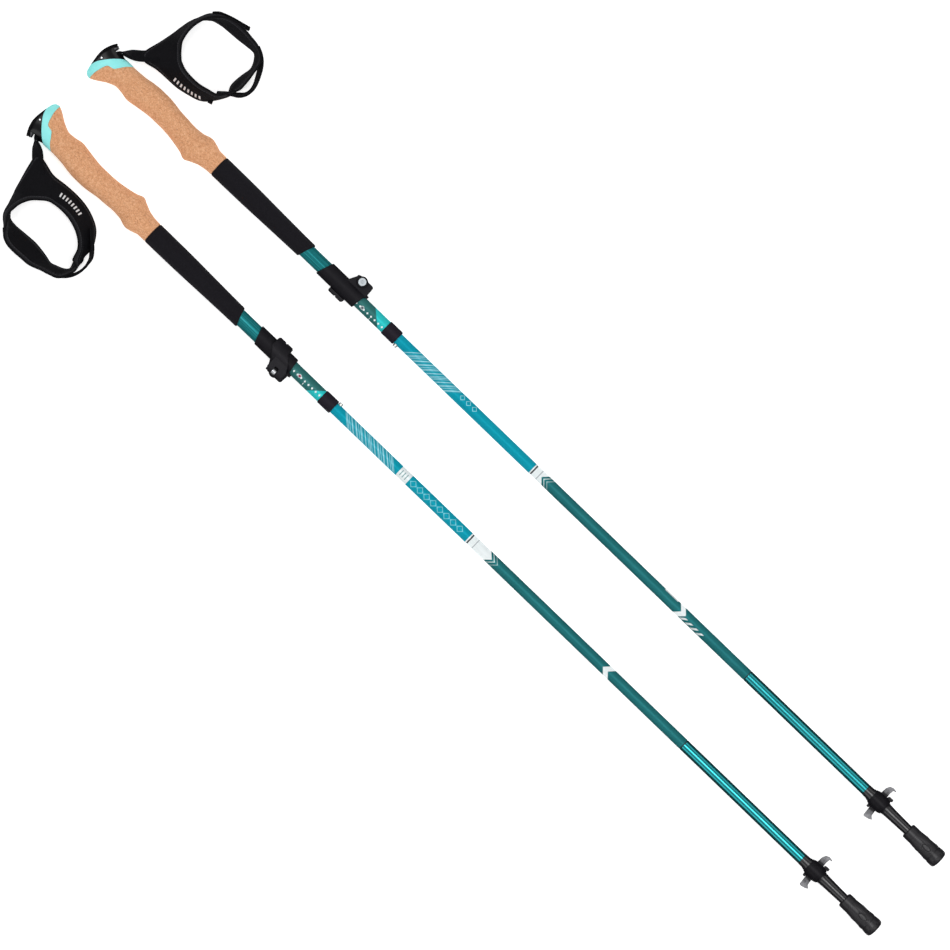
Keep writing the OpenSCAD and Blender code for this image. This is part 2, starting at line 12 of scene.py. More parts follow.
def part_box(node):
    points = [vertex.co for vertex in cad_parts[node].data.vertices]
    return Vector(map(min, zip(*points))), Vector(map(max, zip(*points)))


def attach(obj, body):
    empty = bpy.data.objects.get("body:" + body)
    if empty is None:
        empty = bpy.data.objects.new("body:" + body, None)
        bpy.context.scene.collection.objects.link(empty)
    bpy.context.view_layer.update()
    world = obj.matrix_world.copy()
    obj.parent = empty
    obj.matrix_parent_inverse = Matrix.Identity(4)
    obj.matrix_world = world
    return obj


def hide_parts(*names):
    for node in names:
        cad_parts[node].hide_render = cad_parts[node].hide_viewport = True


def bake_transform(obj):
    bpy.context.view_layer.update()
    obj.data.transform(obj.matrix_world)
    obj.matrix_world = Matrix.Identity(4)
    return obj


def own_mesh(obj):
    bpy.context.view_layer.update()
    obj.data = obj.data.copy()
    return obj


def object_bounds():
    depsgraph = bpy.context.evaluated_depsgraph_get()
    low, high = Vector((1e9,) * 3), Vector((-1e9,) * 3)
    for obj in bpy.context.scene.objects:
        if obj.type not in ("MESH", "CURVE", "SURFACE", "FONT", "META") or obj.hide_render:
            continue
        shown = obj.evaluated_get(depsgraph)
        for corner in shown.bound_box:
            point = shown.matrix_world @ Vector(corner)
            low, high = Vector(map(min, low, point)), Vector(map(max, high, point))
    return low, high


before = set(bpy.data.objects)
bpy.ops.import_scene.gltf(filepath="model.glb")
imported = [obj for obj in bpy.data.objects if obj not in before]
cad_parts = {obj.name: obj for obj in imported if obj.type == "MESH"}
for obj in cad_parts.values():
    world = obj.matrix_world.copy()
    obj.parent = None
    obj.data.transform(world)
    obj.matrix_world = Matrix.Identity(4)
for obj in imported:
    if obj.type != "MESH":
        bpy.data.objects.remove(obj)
CAD_LO, CAD_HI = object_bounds()
scene = bpy.context.scene
MM = 0.001
TURN = 2 * math.pi

# stations, mm: the grip's are negative, the tubes' are counted from their own zero
CAP_TOP = -300
CORK_TOP_BORE = -267.9
CORK_END = -135.6
FOAM_START = -135.4
UPPER_TUBE_START = -268
SECTION_2_START = 306.5
PRINT_LEAD_RIGHT = 7.2       # the right pole's prints sit this much further along
TUBE_BORE = 8.03             # radius of the hole in cork and foam
CORD_RADIUS = 1.25


# ------------------------------------------------------------------ poles and their frames
class Pole:
    def __init__(self, side):
        self.side, self.left = side, side == "left"
        self.flip = 1 if self.left else -1
        low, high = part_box(side + "_tube_section_2")
        self.axis_y, self.axis_z = (low.y + high.y) / 2 / MM, (low.z + high.z) / 2 / MM
        self.tube_zero = low.x / MM - SECTION_2_START
        self.grip_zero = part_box(side + "_upper_tube")[0].x / MM - UPPER_TUBE_START

    def part(self, name):
        return self.side + "_" + name

    def row(self, points, low=False):
        """Local points to the row frame; low counts stations from the lower tubes' zero."""
        zero = self.tube_zero if low else self.grip_zero
        across = self.flip
        offset = np.array([zero, self.axis_y, self.axis_z])
        return (offset + np.asarray(points, float) * [1, across, across]) * MM

    def flat(self, points):
        """Strap points (station, distance to the strap side, height over the axis) to the row frame."""
        offset = np.array([self.grip_zero, self.axis_y, self.axis_z])
        return (offset + np.asarray(points, float) * [1, -self.flip, 1]) * MM


POLES = [Pole("left"), Pole("right")]


# ------------------------------------------------------------------ node graphs
def linear(colour):
    """sRGB 0..255 to linear RGBA."""
    parts = [v / 255 for v in colour]
    return tuple(v / 12.92 if v <= 0.04045 else ((v + 0.055) / 1.055) ** 2.4
                 for v in parts) + (1.0,)


def operator(operation, swapped=False):
    def method(self, other):
        inputs = (other, self) if swapped else (self, other)
        return self.graph.math(operation, *inputs)
    return method


def function(operation):
    return lambda self, *inputs: self.math(operation, *inputs)


class Value:
    """An output socket of a graph, with arithmetic that adds math nodes."""

    def __init__(self, graph, socket):
        self.graph, self.socket = graph, socket

    def __neg__(self):
        return self.graph.math("MULTIPLY", self, -1.0)

    def __abs__(self):
        return self.graph.math("ABSOLUTE", self)

    __add__, __radd__ = operator("ADD"), operator("ADD", True)
    __sub__, __rsub__ = operator("SUBTRACT"), operator("SUBTRACT", True)
    __mul__, __rmul__ = operator("MULTIPLY"), operator("MULTIPLY", True)
    __truediv__ = operator("DIVIDE")


class Graph:
    """The node tree of a material or world."""

    def __init__(self, owner, output):
        owner.use_nodes = True
        self.nodes, self.links = owner.node_tree.nodes, owner.node_tree.links
        self.nodes.clear()
        self.output = self.add(output)

    def put(self, socket, value):
        if isinstance(value, Value):
            self.links.new(value.socket, socket)
        else:
            socket.default_value = value

    def add(self, kind, inputs=None, **settings):
        node = self.nodes.new("ShaderNode" + kind)
        for name, value in settings.items():
            setattr(node, name, value)
        for key, value in (inputs or {}).items():
            self.put(node.inputs[key], value)
        return node

    def value(self, kind, inputs=None, output=0, **settings):
        return Value(self, self.add(kind, inputs, **settings).outputs[output])

    def split(self, kind, value):
        return [Value(self, socket) for socket in self.add(kind, {0: value}).outputs]

    def math(self, operation, *inputs):
        return self.value("Math", dict(enumerate(inputs)), operation=operation)

    minimum, maximum = function("MINIMUM"), function("MAXIMUM")
    sine, fract = function("SINE"), function("FRACT")

    def remap(self, x, start, end, low=0.0, high=1.0, smooth=False):
        inputs = {"Value": x, "From Min": start, "From Max": end, "To Min": low, "To Max": high}
        return self.value("MapRange", inputs,
                          interpolation_type="SMOOTHSTEP" if smooth else "LINEAR")


class Material(Graph):
    """A principled material whose textures sit in the row frame, in mm."""

    def __init__(self, name):
        self.material = bpy.data.materials.new(name)
        super().__init__(self.material, "OutputMaterial")
        self.surface = self.add("BsdfPrincipled")
        self.links.new(self.surface.outputs[0], self.output.inputs[0])
        place = self.value("TexCoord", output="Object")
        self.place = self.value("VectorMath", {0: place, "Scale": 1 / MM}, operation="SCALE")

    def axes(self):
        return self.split("SeparateXYZ", self.place)

    def above(self, x, edge, soft=0.12):
        """0 below the edge, 1 above it."""
        return self.remap(x, edge - soft, edge + soft, smooth=True)

    def between(self, x, start, end, soft=0.12):
        return self.above(x, start, soft) * (1.0 - self.above(x, end, soft))

    def wave(self, x, pitch):
        return self.sine(x * (TURN / pitch))

    def stretched(self, stretch):
        if stretch is None:
            return self.place
        return self.value("VectorMath", {0: self.place, 1: stretch}, operation="MULTIPLY")

    def noise(self, scale, detail=3.0, rough=0.55, stretch=None):
        return self.value("TexNoise", {"Vector": self.stretched(stretch), "Scale": scale,
                                       "Detail": detail, "Roughness": rough})

    def voronoi(self, scale, stretch=None):
        return self.add("TexVoronoi", {"Vector": self.stretched(stretch), "Scale": scale})

    def cell_distance(self, scale):
        return Value(self, self.voronoi(scale).outputs["Distance"])

    def cells(self, scale, stretch=None):
        """Distance to the cell centre, and a random value per cell."""
        node = self.voronoi(scale, stretch)
        random = self.split("SeparateColor", Value(self, node.outputs["Color"]))[0]
        return Value(self, node.outputs["Distance"]), random

    def mix(self, factor, low, high, blend="MIX"):
        """low and high are sRGB triples or values."""
        low, high = [c if isinstance(c, Value) else linear(c) for c in (low, high)]
        return self.value("Mix", {0: factor, 6: low, 7: high}, output=2,
                          data_type="RGBA", blend_type=blend)

    def stops(self, factor, table):
        """Colour ramp through (position, sRGB colour)."""
        node = self.add("ValToRGB", {0: factor})
        elements = node.color_ramp.elements
        while len(elements) < len(table):
            elements.new(0.5)
        for element, (position, colour) in zip(elements, table):
            element.position, element.color = position, linear(colour)
        return Value(self, node.outputs[0])

    def attribute(self, name):
        return self.value("Attribute", output="Fac", attribute_name=name)

    def uv(self):
        return self.split("SeparateXYZ", self.value("UVMap"))[:2]

    def bump(self, height, depth, strength, bevel=None):
        """A height of 1 stands depth mm proud; bevel is the rounding of the edges, mm."""
        inputs = {"Strength": strength, "Distance": depth * MM, "Height": height}
        if bevel is not None:
            inputs["Normal"] = self.value("Bevel", {"Radius": bevel * MM}, samples=6)
        return self.value("Bump", inputs)

    def finish(self, colour, rough, metal=0.0, spec=0.5, coat=None, coat_rough=0.1, sheen=None,
               normal=None):
        inputs = {"Base Color": colour, "Roughness": rough, "Metallic": metal,
                  "Specular IOR Level": spec}
        if coat is not None:
            inputs |= {"Coat Weight": coat, "Coat Roughness": coat_rough}
        if sheen is not None:
            inputs |= {"Sheen Weight": sheen, "Sheen Roughness": 0.5,
                       "Sheen Tint": linear((200, 200, 210))}
        if normal is not None:
            inputs["Normal"] = normal
        for name, value in inputs.items():
            self.put(self.surface.inputs[name], value)
        return self.material


# ------------------------------------------------------------------ plain materials
def cork_material():
    """Pressed granules with pits, dark specks and pale grains."""
    g = Material("cork")
    warp = g.noise(0.35, detail=2.0)
    grain, grain_tone = g.cells(0.95)
    small, small_tone = g.cells(1.7)
    large, large_tone = g.cells(0.42, stretch=(0.6, 1.0, 1.0))
    fine = g.noise(2.2, detail=4.0, rough=0.65)
    tone = grain_tone * 0.42 + small_tone * 0.22 + fine * 0.36 + (warp - 0.5) * 0.25
    colour = g.stops(tone, [(0.05, (176, 112, 72)), (0.32, (208, 145, 101)),
                            (0.52, (222, 162, 118)), (0.74, (234, 180, 138)),
                            (0.95, (245, 205, 168))])
    pore = (1.0 - g.above(large, 0.26, soft=0.07)) * g.above(large_tone, 0.72, soft=0.02)
    speck = (1.0 - g.above(small, 0.3, soft=0.08)) * g.above(small_tone, 0.88, soft=0.02)
    pale = (1.0 - g.above(grain, 0.34, soft=0.1)) * (1.0 - g.above(grain_tone, 0.12, soft=0.02))
    colour = g.mix(pore * 0.5, colour, (168, 106, 68))
    colour = g.mix(speck * 0.6, colour, (150, 92, 58))
    colour = g.mix(pale * 0.5, colour, (250, 216, 184))
    height = 0.55 - pore * 0.5 - speck * 0.35 + (fine - 0.5) * 0.35 + (grain_tone - 0.5) * 0.1
    return g.finish(colour, rough=0.66 + 0.2 * fine, spec=0.32,
                    normal=g.bump(height, depth=0.28, strength=0.8))


def trim_material():
    g = Material("trim_rubber")
    grain = g.noise(3.0)
    worn = g.noise(0.12, detail=2.0)
    colour = g.mix(worn, (134, 236, 234), (156, 244, 242))
    return g.finish(colour, rough=0.36 + 0.12 * grain, spec=0.45,
                    normal=g.bump(grain, depth=0.03, strength=0.5))


def cap_material():
    g = Material("cap_plastic")
    scuff = g.noise(0.8, detail=4.0, rough=0.6, stretch=(0.15, 1.0, 1.0))
    blotch = g.noise(0.25, detail=2.0)
    colour = g.mix(scuff, (3, 3, 5), (11, 10, 13))
    skin = g.noise(5.0, detail=2.0)
    return g.finish(colour, rough=0.14 + 0.12 * scuff + 0.06 * blotch, spec=0.25, coat=0.25,
                    coat_rough=0.06, normal=g.bump(skin, depth=0.008, strength=0.4, bevel=0.25))


def metal_material(name, base, rough, scale=3.0):
    g = Material(name)
    grain = g.noise(scale, detail=4.0, rough=0.6)
    turning = g.noise(1.2, rough=0.6, stretch=(6.0, 1.0, 1.0))
    colour = g.mix(grain * 0.5 + turning * 0.4, tuple(v * 0.86 for v in base), base)
    return g.finish(colour, rough=rough + 0.14 * grain, metal=0.95,
                    normal=g.bump(grain, depth=0.02, strength=0.5, bevel=0.2))


def plastic_material(name, dark, light, rough=0.45, grain=2.6, depth=0.05, spec=0.45, bevel=0.35,
                     coat=None):
    """Moulded plastic with a fine grain and blotchy wear."""
    g = Material(name)
    fine = g.noise(grain, rough=0.6)
    blotch = g.noise(0.18)
    spots = g.cell_distance(grain * 0.8)
    colour = g.mix(fine * 0.45 + blotch * 0.55, dark, light)
    return g.finish(colour, rough=rough + 0.2 * blotch - 0.08 * fine, spec=spec, coat=coat,
                    normal=g.bump(fine * 0.6 + spots * 0.4, depth=depth, strength=0.7,
                                  bevel=bevel))


def basket_material(pole):
    """Dark moulded hub; the claws are paler and scuffed, and a painted highlight lightens them towards
    their ends.
    """
    g = Material(pole.part("basket_plastic"))
    fine = g.noise(2.4, rough=0.6)
    blotch = g.noise(0.3)
    across = abs(g.axes()[1] - pole.axis_y)
    claw = g.above(across + (blotch - 0.5) * 3.0, 11.4, soft=1.2)
    hub_colour = g.mix(fine * 0.5 + blotch * 0.5, (8, 7, 11), (22, 20, 26))
    scuff = g.above(g.noise(0.7, detail=4.0, rough=0.7, stretch=(1.0, 0.4, 1.0)), 0.5, soft=0.1)
    # painted highlight: the end mask lightens the claws towards their ends; the scuff mask is wear
    end = g.above(across + (g.noise(0.5, detail=2.0) - 0.5) * 4.0, 15.6, soft=2.2)
    claw_scuff_and_highlight = g.mix(end * 0.5 + fine * 0.2 + scuff * 0.3, (46, 46, 50), (146, 146, 150))
    height = fine * 0.6 + g.cell_distance(1.9) * 0.4
    return g.finish(g.mix(claw, hub_colour, claw_scuff_and_highlight), rough=0.34 + 0.2 * blotch,
                    spec=0.16 + 0.3 * claw,
                    normal=g.bump(height, depth=0.06, strength=0.7, bevel=0.35))


def foam_material():
    g = Material("foam")
    bubble, bubble_tone = g.cells(2.1)
    large, large_tone = g.cells(0.9)
    blotch = g.noise(0.5)
    fine = g.noise(4.0, rough=0.7)
    colour = g.mix(fine * 0.5 + bubble_tone * 0.3 + blotch * 0.2, (7, 6, 10), (29, 27, 33))
    pit = (1.0 - g.above(large, 0.24, soft=0.1)) * g.above(large_tone, 0.6, soft=0.05)
    colour = g.mix(pit * 0.6, colour, (8, 8, 9))
    height = fine * 0.5 + bubble * 0.3 - pit * 0.5 + 0.3
    return g.finish(colour, rough=0.8 + 0.12 * fine, spec=0.16, sheen=0.03,
                    normal=g.bump(height, depth=0.16, strength=0.8))


def boot_material():
    g = Material("boot_rubber")
    grain = g.noise(2.4, detail=4.0, rough=0.65)
    blotch = g.noise(0.15)
    dust = g.noise(0.6, detail=4.0, rough=0.7)
    colour = g.mix(blotch * 0.4 + grain * 0.3 + dust * 0.3, (10, 9, 13), (36, 34, 39))
    return g.finish(colour, rough=0.3 + 0.18 * grain, spec=0.5,
                    normal=g.bump(grain, depth=0.08, strength=0.7))


def cord_material():
    """Two crossing spirals make the braid."""
    g = Material("cord_fabric")
    x, y, z = g.axes()
    angle = g.math("ARCTAN2", z, y)
    one_way = g.sine(x * 3.6 + angle * 4.0)
    other_way = g.sine(x * 3.6 - angle * 4.0)
    height = g.maximum(one_way, other_way) * 0.5 + 0.5
    colour = g.mix(height, (90, 18, 14), (206, 62, 44))
    return g.finish(colour, rough=0.8, spec=0.25, sheen=0.3,
                    normal=g.bump(height, depth=0.15, strength=0.8))


# ------------------------------------------------------------------ printed tubes
WHITE = (236, 243, 244)
MARK_WHITE = (240, 250, 250)


class TubeMaterial(Material):
    """Paint placed by station along the tube and side, which is + towards row -Y."""

    def __init__(self, pole, part):
        super().__init__(pole.part(part + "_paint"))
        x, y, self.z = self.axes()
        self.axis_z = pole.axis_z
        self.station = x - (pole.tube_zero + (0.0 if pole.left else PRINT_LEAD_RIGHT))
        self.side = pole.axis_y - y

    def upper_half(self, edge=0.0, soft=0.3):
        return self.above(self.z - self.axis_z, edge, soft)

    def diamonds(self, start, count, pitch, across, inner, outer, soft):
        """Outlines of diamonds in a row; inner and outer bound the line."""
        along = self.fract((self.station - start) / pitch) * pitch - pitch / 2
        ring = self.between(abs(along) * 0.95 + across, inner, outer, soft)
        row = self.between(self.station, start, start + count * pitch, soft=0.05)
        return ring * row * self.upper_half(soft=0.2)


def anodised(g, colour, rough, metal, coat, streak, spec):
    """Fine drawn lines along the tube and faint handling marks."""
    lines = g.noise(1.0, rough=0.6, stretch=(0.02, 2.4, 2.4))
    blotch = g.noise(0.05)
    scuff = g.noise(0.7, detail=4.0, rough=0.7, stretch=(0.25, 1.0, 1.0))
    scuffed = g.above(scuff, 0.7, soft=0.05)
    shade = g.mix(1.0, colour, colour)
    tone = g.remap(lines * 0.7 + blotch * 0.3, 0.3, 0.7,
                   low=1.0 - 0.22 * streak, high=1.0 + 0.18 * streak)
    grey = g.value("CombineXYZ", {0: tone, 1: tone, 2: tone})
    return g.finish(g.mix(1.0, shade, grey, blend="MULTIPLY"),
                    rough=rough + 0.12 * lines + 0.12 * scuffed, metal=metal, spec=spec,
                    coat=coat, coat_rough=0.12,
                    normal=g.bump(lines * 0.7 + scuff * 0.3, depth=0.012, strength=0.6,
                                  bevel=0.2))


def upper_material(pole):
    g = Material(pole.part("upper_tube_paint"))
    lines = g.noise(1.0, rough=0.65, stretch=(0.012, 1.5, 1.5))
    colour = g.stops(lines, [(0.3, (6, 90, 94)), (0.5, (16, 116, 120)), (0.62, (34, 142, 148)),
                             (0.75, (72, 170, 176))])
    return anodised(g, colour, rough=0.4, metal=0.45, coat=0.0, streak=0.5, spec=0.2)


def scale_material(pole):
    """Two colours parted by a slanted cut, graduation marks and one ringed dot."""
    g = TubeMaterial(pole, "scale_tube")
    station, side = g.station, g.side
    if pole.left:
        cut, cut_edge = station + 1.15 * side, 92.2
        phase, mark_side = 2.5, 1.4
        dot, dot_colour = 70.0, (150, 44, 74)
    else:
        cut, cut_edge = station - 1.15 * side, 79.7
        phase, mark_side = 0.0, 3.0
        dot, dot_colour = 62.6, (84, 96, 104)
    colour = g.mix(g.above(cut, cut_edge, soft=0.15), (40, 108, 106), (34, 196, 198))
    top = g.upper_half()
    # a pointed mark every 5 mm, a longer tick every 25 mm
    along = g.fract((station - phase) / 5.0 + 0.5) * 5.0 - 2.5
    across = side - mark_side
    point = g.above(1.2 - abs(along) * 1.0 - abs(across) * 0.9, 0.0, soft=0.16) * top
    colour = g.mix(point, colour, MARK_WHITE)
    along = abs(g.fract((station - phase) / 25.0 + 0.5) * 25.0 - 12.5)
    tick = (1.0 - g.above(along, 0.35, soft=0.1)) * g.between(
        side, mark_side + 2.0, mark_side + 4.2, soft=0.1) * top
    colour = g.mix(tick, colour, MARK_WHITE)
    radius = g.math("SQRT", (station - dot) * (station - dot)
                    + (side - mark_side + 0.4) * (side - mark_side + 0.4))
    for edge, fill in ((1.9, (214, 222, 224)), (1.35, dot_colour)):
        colour = g.mix((1.0 - g.above(radius, edge)) * top, colour, fill)
    return anodised(g, colour, rough=0.36, metal=0.25, coat=0.04, streak=0.35, spec=0.25)


def section_1_material(pole):
    """Slanted stripes, a row of diamonds and a white line near the joint."""
    g = TubeMaterial(pole, "section_1")
    station, side = g.station, g.side
    if pole.left:
        slant, start, end = station - 1.15 * side, 133.0, 200.5
    else:
        slant, start, end = station + 1.15 * side, 128.7, 188.0
    zone = g.between(slant, start, end, soft=0.3)
    stripes = g.between(g.fract(slant / 4.3), 0.1, 0.33, soft=0.04)
    wide_set = g.between(g.fract(slant / 6.1 + 0.35), 0.55, 0.72, soft=0.03)
    colour = g.mix(g.noise(0.06, detail=2.0), (4, 146, 170), (8, 160, 180))
    colour = g.mix(zone * 0.75, colour, (44, 158, 178))
    colour = g.mix(zone * g.maximum(stripes * 0.8, wide_set), colour, (156, 216, 228))
    if pole.left:
        colour = g.mix(g.between(station, 207.2, 220.8, soft=0.15), colour, WHITE)
        bars = g.above(abs(g.fract(station / 3.4 + 0.2) - 0.5), 0.36, soft=0.03)
        bars = bars * g.between(station, 209.6, 218.6, soft=0.1) * g.between(side, -3.2, 3.2)
        colour = g.mix(bars * 0.8, colour, (70, 140, 140))
        diamonds = g.diamonds(start=222.0, count=8, pitch=9.2, across=abs(side),
                              inner=3.1, outer=4.2, soft=0.15)
        diamond_colour, line = (140, 214, 226), (303.5, 305.2)
    else:
        diamonds = g.diamonds(start=193.0, count=3, pitch=8.2, across=abs(side + 2.2),
                              inner=2.3, outer=3.1, soft=0.12)
        diamond_colour, line = (170, 230, 238), (296.4, 298.2)
    colour = g.mix(diamonds * 0.7, colour, diamond_colour)
    colour = g.mix(g.between(station, *line, soft=0.1), colour, WHITE)
    return anodised(g, colour, rough=0.36, metal=0.2, coat=0.0, streak=0.3, spec=0.08)


def section_2_material(pole):
    """White end with a grey line, two thin chevrons after it, and a broad chevron further on."""
    g = TubeMaterial(pole, "section_2")
    station, side = g.station, g.side
    across = abs(side)
    if pole.left:
        near, far = station + 1.05 * across, station - 0.95 * across
        white_end, thin_1, thin_2 = 335.4, (338.2, 339.7), (342.6, 343.9)
        grey_line, broad = (312.5, 313.5), (489.6, 496.4)
    else:
        near, far = station - 0.95 * across, station + 0.95 * across
        white_end, thin_1, thin_2 = 308.7, (311.2, 312.6), (315.2, 316.6)
        grey_line, broad = (305.4, 306.4), (502.2, 508.9)
    white = 1.0 - g.above(near, white_end, soft=0.2)
    chevron = g.between(far, *broad, soft=0.2)
    colour = g.mix(g.noise(0.04, detail=2.0), (26, 104, 108), (38, 120, 124))
    colour = g.mix(g.between(near, *thin_1, soft=0.2) * 0.8, colour, (206, 228, 228))
    colour = g.mix(g.between(near, *thin_2, soft=0.2) * 0.55, colour, (180, 210, 212))
    colour = g.mix(white, colour, WHITE)
    colour = g.mix(white * g.between(station, *grey_line) * 0.75, colour, (150, 156, 160))
    colour = g.mix(chevron, colour, WHITE)
    if not pole.left:
        bar = g.above(-side, 4.7, soft=0.1) * g.between(station + 0.8 * side, 471.5, 489.5,
                                                        soft=0.15)
        slant = station + 1.35 * side
        dashes = (1.0 - g.above(g.fract((slant - 512.5) / 7.4), 0.45, soft=0.02)) * g.between(
            slant, 512.4, 541.0, soft=0.1)
        dashes = dashes * g.between(side, 1.7, 5.6) * g.upper_half(edge=-0.5)
        colour = g.mix(g.maximum(bar, dashes), colour, WHITE)
    metal = 0.4 * (1.0 - g.minimum(1.0, g.maximum(white, chevron)))
    return anodised(g, colour, rough=0.4, metal=metal, coat=0.0, streak=0.4, spec=0.12)


def section_3_material(pole):
    g = Material(pole.part("section_3_paint"))
    colour = g.mix(g.noise(0.03, detail=2.0), (40, 156, 164), (62, 172, 178))
    return anodised(g, colour, rough=0.13, metal=0.96, coat=0.0, streak=0.4, spec=0.3)


# ------------------------------------------------------------------ fabric
INNER_UV = 500           # added to v on the ribbon's underside, to tell it from the outer face


def weave(g, along, across):
    """Webbing: lines along it, and their mix with zigzag ribs across."""
    rib = g.sine(along * (TURN / 1.5) + abs(g.fract(across / 5.0) - 0.5) * 6.0) * 0.5 + 0.5
    warp = g.wave(across, pitch=0.9) * 0.5 + 0.5
    return warp, rib * 0.6 + warp * 0.4


def band_material(pole, start, end, bar_centre, bar_half):
    """Padded mesh with bound edges, stitches, sewn webbing, and a row of printed bars."""
    g = Material(pole.part("padded_fabric"))
    along, v = g.uv()
    inner = g.above(v, INNER_UV / 2, soft=1.0)
    across = v - inner * float(INNER_UV)
    kind = g.attribute("kind")
    edge = g.attribute("edge")
    bound = 1.0 - g.above(edge, 3.3, soft=0.15)
    knit_u, knit_v = along * (TURN / 1.3), across * (TURN / 1.1)
    knit = g.sine(knit_u + g.sine(knit_v) * 1.2) * g.sine(knit_v) * 0.5 + 0.5
    warp, web = weave(g, along, across)
    tape = g.wave(along, pitch=0.8) * 0.3 + warp * 0.5 + 0.3
    face = knit * (1.0 - kind) + web * kind
    height = face * (1.0 - bound) * 0.5 + bound * (tape * 0.4 + 0.55)
    fuzz = g.noise(3.0, detail=4.0, rough=0.7)
    blotch = g.noise(0.12)
    colour = g.mix(fuzz * 0.5 + blotch * 0.5, (3, 3, 5), (10, 9, 13))
    colour = g.mix(face * 0.35 * (1.0 - bound), colour, (20, 20, 25))
    colour = g.mix(bound * (0.4 + 0.6 * tape), colour, (36, 36, 39))
    # one stitch row in the binding, another beside it where the band is webbing
    dash = g.between(g.fract(along / 3.0), 0.12, 0.8, soft=0.06)
    binding_row = g.between(edge, 2.4, 2.9, soft=0.1) * dash
    webbing_row = g.between(edge, 4.6, 5.0, soft=0.1) * dash * kind
    stitch = g.maximum(binding_row, webbing_row)
    colour = g.mix(stitch * 0.75, colour, (64, 64, 68))
    height = height + stitch * 0.25 - g.between(edge, 3.3, 4.1, soft=0.2) * 0.35
    # eight leaning bars on the outer face
    lean = along + 0.35 * across
    bars = g.between(g.fract((lean - start) / ((end - start) / 8.0)), 0.18, 0.62, soft=0.05)
    bars = bars * g.between(lean, start, end, soft=0.1)
    bars = bars * (1.0 - g.above(abs(across - bar_centre), bar_half, soft=0.15)) * (1.0 - inner)
    colour = g.mix(bars * (0.82 + 0.18 * fuzz), colour, (232, 232, 234))
    return g.finish(colour, rough=0.72 + 0.15 * fuzz, spec=0.12, sheen=0.04,
                    normal=g.bump(height, depth=0.36, strength=0.7))


def webbing_material(name):
    g = Material(name)
    height = weave(g, *g.uv())[1]
    fuzz = g.noise(3.0, detail=4.0, rough=0.7)
    colour = g.mix(height * 0.6 + fuzz * 0.4, (2, 2, 4), (14, 14, 18))
    return g.finish(colour, rough=0.72 + 0.2 * fuzz, spec=0.12, sheen=0.04,
                    normal=g.bump(height + fuzz * 0.2, depth=0.3, strength=0.8))


# ------------------------------------------------------------------ mesh helpers
def new_object(name, mesh):
    ob = bpy.data.objects.new(name, mesh)
    scene.collection.objects.link(ob)
    return ob


def new_mesh(name, points, faces, material=None):
    mesh = bpy.data.meshes.new(name)
    mesh.from_pydata(points, [], faces)
    if material:
        mesh.materials.append(material)
    return mesh


def set_material(mesh, material):
    mesh.materials.clear()
    mesh.materials.append(material)


def set_uv(mesh, data):
    layer = mesh.uv_layers.new(name="UVMap")
    layer.data.foreach_set("uv", data.astype(np.float32).ravel())


def set_attribute(mesh, name, values):
    attribute = mesh.attributes.new(name, "FLOAT", "POINT")
    attribute.data.foreach_set("value", values.astype(np.float32))


def clean(mesh, sharp=None):
    """Faces outwards and smooth, with edges over the sharp angle (degrees) kept crisp."""
    bm = bmesh.new()
    bm.from_mesh(mesh)
    bmesh.ops.recalc_face_normals(bm, faces=bm.faces)
    if sharp:
        for edge in bm.edges:
            edge.smooth = edge.calc_face_angle(0.0) < math.radians(sharp)
    bm.to_mesh(mesh)
    bm.free()
    mesh.polygons.foreach_set("use_smooth", [True] * len(mesh.polygons))
    mesh.update()


def grid_faces(rows, columns, close_rows, close_columns):
    """Quads over points numbered row * columns + column."""
    u, v = np.meshgrid(np.arange(rows if close_rows else rows - 1),
                       np.arange(columns if close_columns else columns - 1), indexing="ij")
    u, v = u.ravel(), v.ravel()
    u2, v2 = (u + 1) % rows, (v + 1) % columns
    return np.stack([u * columns + v, u2 * columns + v, u2 * columns + v2, u * columns + v2],
                    1).tolist()


def loft(name, pole, rings, material, closed=False, fans=(), low=False, sharp=50):
    """Skin over rings of local points. fans lists (ring index, point) that close an end."""
    grid = pole.row(np.stack(rings, 1), low)
    count, columns = grid.shape[:2]
    points, faces = grid.reshape(-1, 3).tolist(), grid_faces(count, columns, True, closed)
    for ring_index, tip in fans:
        centre = len(points)
        points.append(pole.row(tip, low).tolist())
        faces += [[u * columns + ring_index, ((u + 1) % count) * columns + ring_index, centre]
                  for u in range(count)]
    mesh = new_mesh(name, points, faces, material)
    clean(mesh, sharp)
    return new_object(name, mesh)


def bake(ob):
    """Applies the object's modifiers to its mesh."""
    depsgraph = bpy.context.evaluated_depsgraph_get()
    mesh = bpy.data.meshes.new_from_object(ob.evaluated_get(depsgraph))
    ob.modifiers.clear()
    ob.data = mesh


def put(ob, body, slot, *nodes):
    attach(ob, body)
    if nodes:
        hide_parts(*nodes)


def smooth_curve(points):
    """Monotone cubic through (x, y) points that doesn't overshoot."""
    xs, ys = np.array(points, float).T
    gaps, slopes = np.diff(xs), np.diff(ys) / np.diff(xs)
    tangents = np.zeros(len(xs))
    for i in range(1, len(xs) - 1):
        if slopes[i - 1] * slopes[i] > 0:
            before, after = 2 * gaps[i] + gaps[i - 1], gaps[i] + 2 * gaps[i - 1]
            tangents[i] = (before + after) / (before / slopes[i - 1] + after / slopes[i])
    tangents[0], tangents[-1] = slopes[0], slopes[-1]

    def curve(x):
        x = np.clip(np.asarray(x, float), xs[0], xs[-1])
        i = np.clip(np.searchsorted(xs, x, side="right") - 1, 0, len(xs) - 2)
        t = (x - xs[i]) / gaps[i]
        return ((1 + 2 * t) * (1 - t) ** 2 * ys[i] + t * (1 - t) ** 2 * gaps[i] * tangents[i]
                + t * t * (3 - 2 * t) * ys[i + 1] + t * t * (t - 1) * gaps[i] * tangents[i + 1])
    return curve


